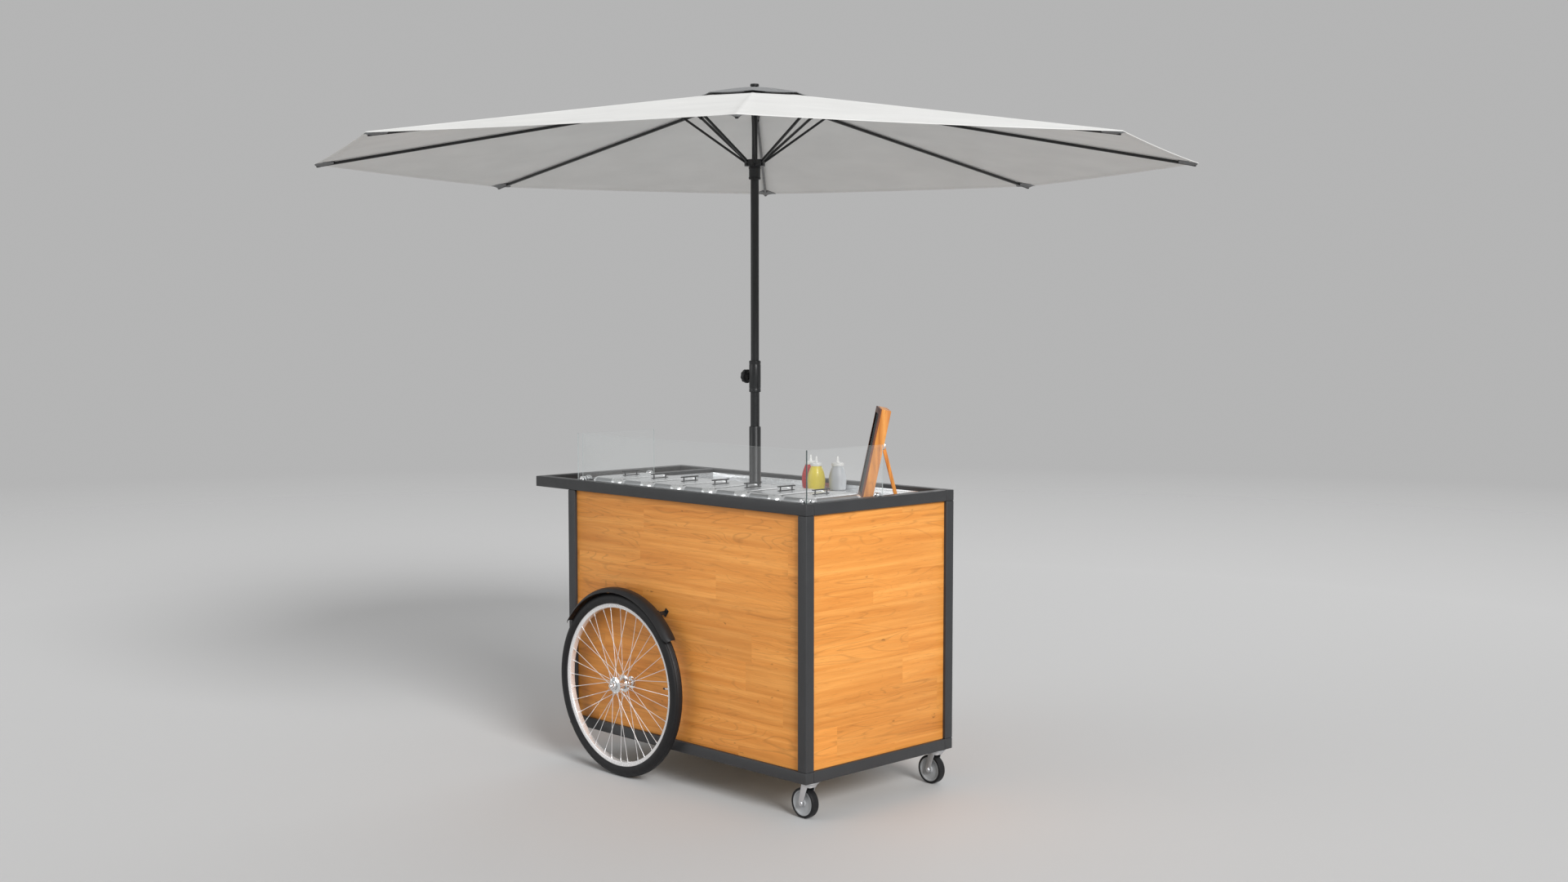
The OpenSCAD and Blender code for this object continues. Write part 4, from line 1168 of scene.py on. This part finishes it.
def make_board():
    place = board_place()
    depth, width, height = BOARD
    border, recess = 20 * MM, 6 * MM
    core = box((-depth + recess, 0, 0), (0, width, height), 1.2 * MM)
    piece("menu_board_block", placed(core, place), "board", "board_wood", "menu_board")
    # painted shade: the border strips take the darkened copy of the board wood
    strips = [box((-depth, 0, 0), (-depth + recess, border, height), 1 * MM, 2),
              box((-depth, width - border, 0), (-depth + recess, width, height), 1 * MM, 2),
              box((-depth, border, 0), (-depth + recess, width - border, border), 1 * MM, 2),
              box((-depth, border, height - border), (-depth + recess, width - border, height), 1 * MM, 2)]
    piece("menu_board_border", placed(join(*strips), place), "board", "board_border_painted_shade", slot="board_wood")
    slate = box((-depth + recess - 1.5 * MM, border, border),
                (-depth + recess + 0.5 * MM, width - border, height - border), 0.3 * MM, 1)
    piece("menu_board_slate", placed(slate, place), "board", "slate", slot="black_plastic")
    hinge = []
    for way in (-1, 1):
        y = LEG_AT.y + way * 14.5 * MM
        hinge.append(box((0, y - 2 * MM, LEG_AT.z - 8 * MM), (12 * MM, y + 2 * MM, LEG_AT.z + 8 * MM),
                         0.8 * MM, 2))
    hinge.append(box((0, LEG_AT.y - 16 * MM, LEG_AT.z - 7 * MM),
                     (1.2 * MM, LEG_AT.y + 16 * MM, LEG_AT.z + 7 * MM), 0.4 * MM, 1))
    half_pin = Vector((0, 17.4 * MM, 0))
    hinge.append(rod(LEG_AT - half_pin, LEG_AT + half_pin, 2 * MM, 14, 0.4 * MM))
    piece("menu_board_hinge", placed(join(*hinge), place), "board", "zinc", slot="chrome")
    leg_place = place @ Matrix.Translation(LEG_AT) @ turned(180 - BOARD_LEAN - LEG_SPREAD, "Y")
    outline = [Vector((6 * MM * cos(a), 6 * MM * sin(a), 0)) for a in [pi + pi * i / 12 for i in range(13)]]
    outline = [Vector((6 * MM, 183 * MM, 0)), Vector((5 * MM, 184 * MM, 0)), Vector((-5 * MM, 184 * MM, 0)),
               Vector((-6 * MM, 183 * MM, 0))] + outline
    bar = placed(slab(outline, 24 * MM, 1.2 * MM), turned(90, "X"))
    piece("menu_board_leg", placed(moved(bar, y=12 * MM), leg_place), "board_prop", "board_wood", "board_leg")


def curve(points, steps=5):
    """A smooth (radius, height) outline through the points."""
    pts = [points[0]] + list(points) + [points[-1]]
    out = []
    for p0, p1, p2, p3 in zip(pts, pts[1:], pts[2:], pts[3:]):
        for i in range(steps):
            t = i / steps
            out.append(tuple(0.5 * (2 * b + (c - a) * t + (2 * a - 5 * b + 4 * c - d) * t * t
                                    + (3 * b - a - 3 * c + d) * t ** 3)
                             for a, b, c, d in zip(p0, p1, p2, p3)))
    return out + [points[-1]]


def make_bottle(colour):
    low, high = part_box(f"bottle_{colour}")
    x, y = (low.x + high.x) / 2, (low.y + high.y) / 2
    shape = curve([(25, 0.6), (29, 3), (30.6, 12), (31.8, 26), (32, 38), (30.6, 52), (27, 66), (22.6, 78),
                   (19.4, 85), (18.6, 88)])
    body = [(0, 1.6), (20, 1.4), (22.6, 0)] + shape + [(18, 90), (0, 90)]
    body = lathe(mm(body, low.z), 64)
    name = f"bottle_{colour}"
    piece(f"{name}_body", moved(body, x, y), name, name, name, crease=50)
    cap = [(16, 87.6, 0), (21.2, 87.6, 0), (21.9, 88.4, 1), (21.9, 96.6, 1), (21.0, 98.4, 0.2), (19.0, 99, 0),
           (12, 99.2, 0), (6.5, 100.4, 0), (5.2, 103, 0), (4.4, 111, 0), (3.2, 120.5, 0), (2.6, 121.8, 0),
           (1.2, 122, 0)]
    cap = fluted(cap, 40, 0.35, 120, low.z)
    piece(f"{name}_cap", moved(cap, x, y), name, "cap_white", slot="bottle_clear")


# ---------- studio ----------


def make_camera():
    data = bpy.data.cameras.new("camera")
    data.sensor_width = 36
    data.lens = 40.985
    camera = bpy.data.objects.new("camera", data)
    camera.location = (4.5808, -4.3081, 1.6162)
    camera.rotation_euler = (radians(90 - 4.005), 0, radians(45.825))
    bpy.context.scene.collection.objects.link(camera)
    bpy.context.scene.camera = camera


def sun(name, energy, spread, azimuth, elevation):
    """A soft distant light. Azimuth is the side it comes from, from +X towards +Y, in degrees."""
    data = bpy.data.lights.new(name, "SUN")
    data.energy = energy
    data.angle = radians(spread)
    lamp = bpy.data.objects.new(name, data)
    a, e = radians(azimuth), radians(elevation)
    way = Vector((cos(a) * cos(e), sin(a) * cos(e), sin(e)))
    lamp.rotation_euler = way.to_track_quat("Z", "Y").to_euler()
    bpy.context.scene.collection.objects.link(lamp)


def make_studio():
    scene = bpy.context.scene
    scene.view_settings.view_transform = "Standard"
    world = bpy.data.worlds.new("studio")
    world.use_nodes = True
    backdrop = world.node_tree.nodes["Background"]
    backdrop.inputs["Color"].default_value = (0.46, 0.46, 0.46, 1)
    backdrop.inputs["Strength"].default_value = 1.0
    scene.world = world
    sun("key", 2.75, 22, -17, 29)
    sun("fill", 0.4, 40, -120, 20)
    sun("back", 0.45, 40, 110, 24)
    floor = bpy.data.meshes.new("floor")
    rings = [circle(r, 96) for r in (0.01, 2, 4, 6, 9, 14)]
    verts = [v for ring in rings for v in ring]
    faces = []
    for j in range(len(rings) - 1):
        for i in range(96):
            k = (i + 1) % 96
            faces.append((j * 96 + i, (j + 1) * 96 + i, (j + 1) * 96 + k, j * 96 + k))
    faces.append(tuple(range(96)))
    floor.from_pydata([tuple(v) for v in verts], [], faces)
    ground = bpy.data.objects.new("floor", floor)
    scene.collection.objects.link(ground)
    finish = Finish("floor", (0.58, 0.58, 0.58), 0.7, Specular_IOR_Level=0.2)
    length = finish.add("ShaderNodeVectorMath", operation="LENGTH")
    finish.feed(length.inputs[0], finish.place)
    fade = finish.spread(length.outputs["Value"], 5.5, 13.0, 0, 1)
    clear = finish.add("ShaderNodeBsdfTransparent")
    finish.blend(fade, finish.shader.outputs[0], clear.outputs[0])
    floor.materials.append(FINISHES["floor"])


make_camera()
make_finishes()
make_studio()
make_frame()
make_cladding()
make_door()
make_worktop()
make_pans()
make_lids()
make_glass()
make_clamps()
make_poles()
make_knob()
make_ribs()
make_struts()
make_canopy()
make_vent_cap()
make_crown()
for wheel_side, wheel_label in ((-1, "front"), (1, "rear")):
    make_wheel(wheel_side, wheel_label)
    make_caster(wheel_side, wheel_label)
make_axle()
make_mudguards()
make_caster_plates()
make_board()
for bottle in ("red", "yellow", "clear"):
    make_bottle(bottle)
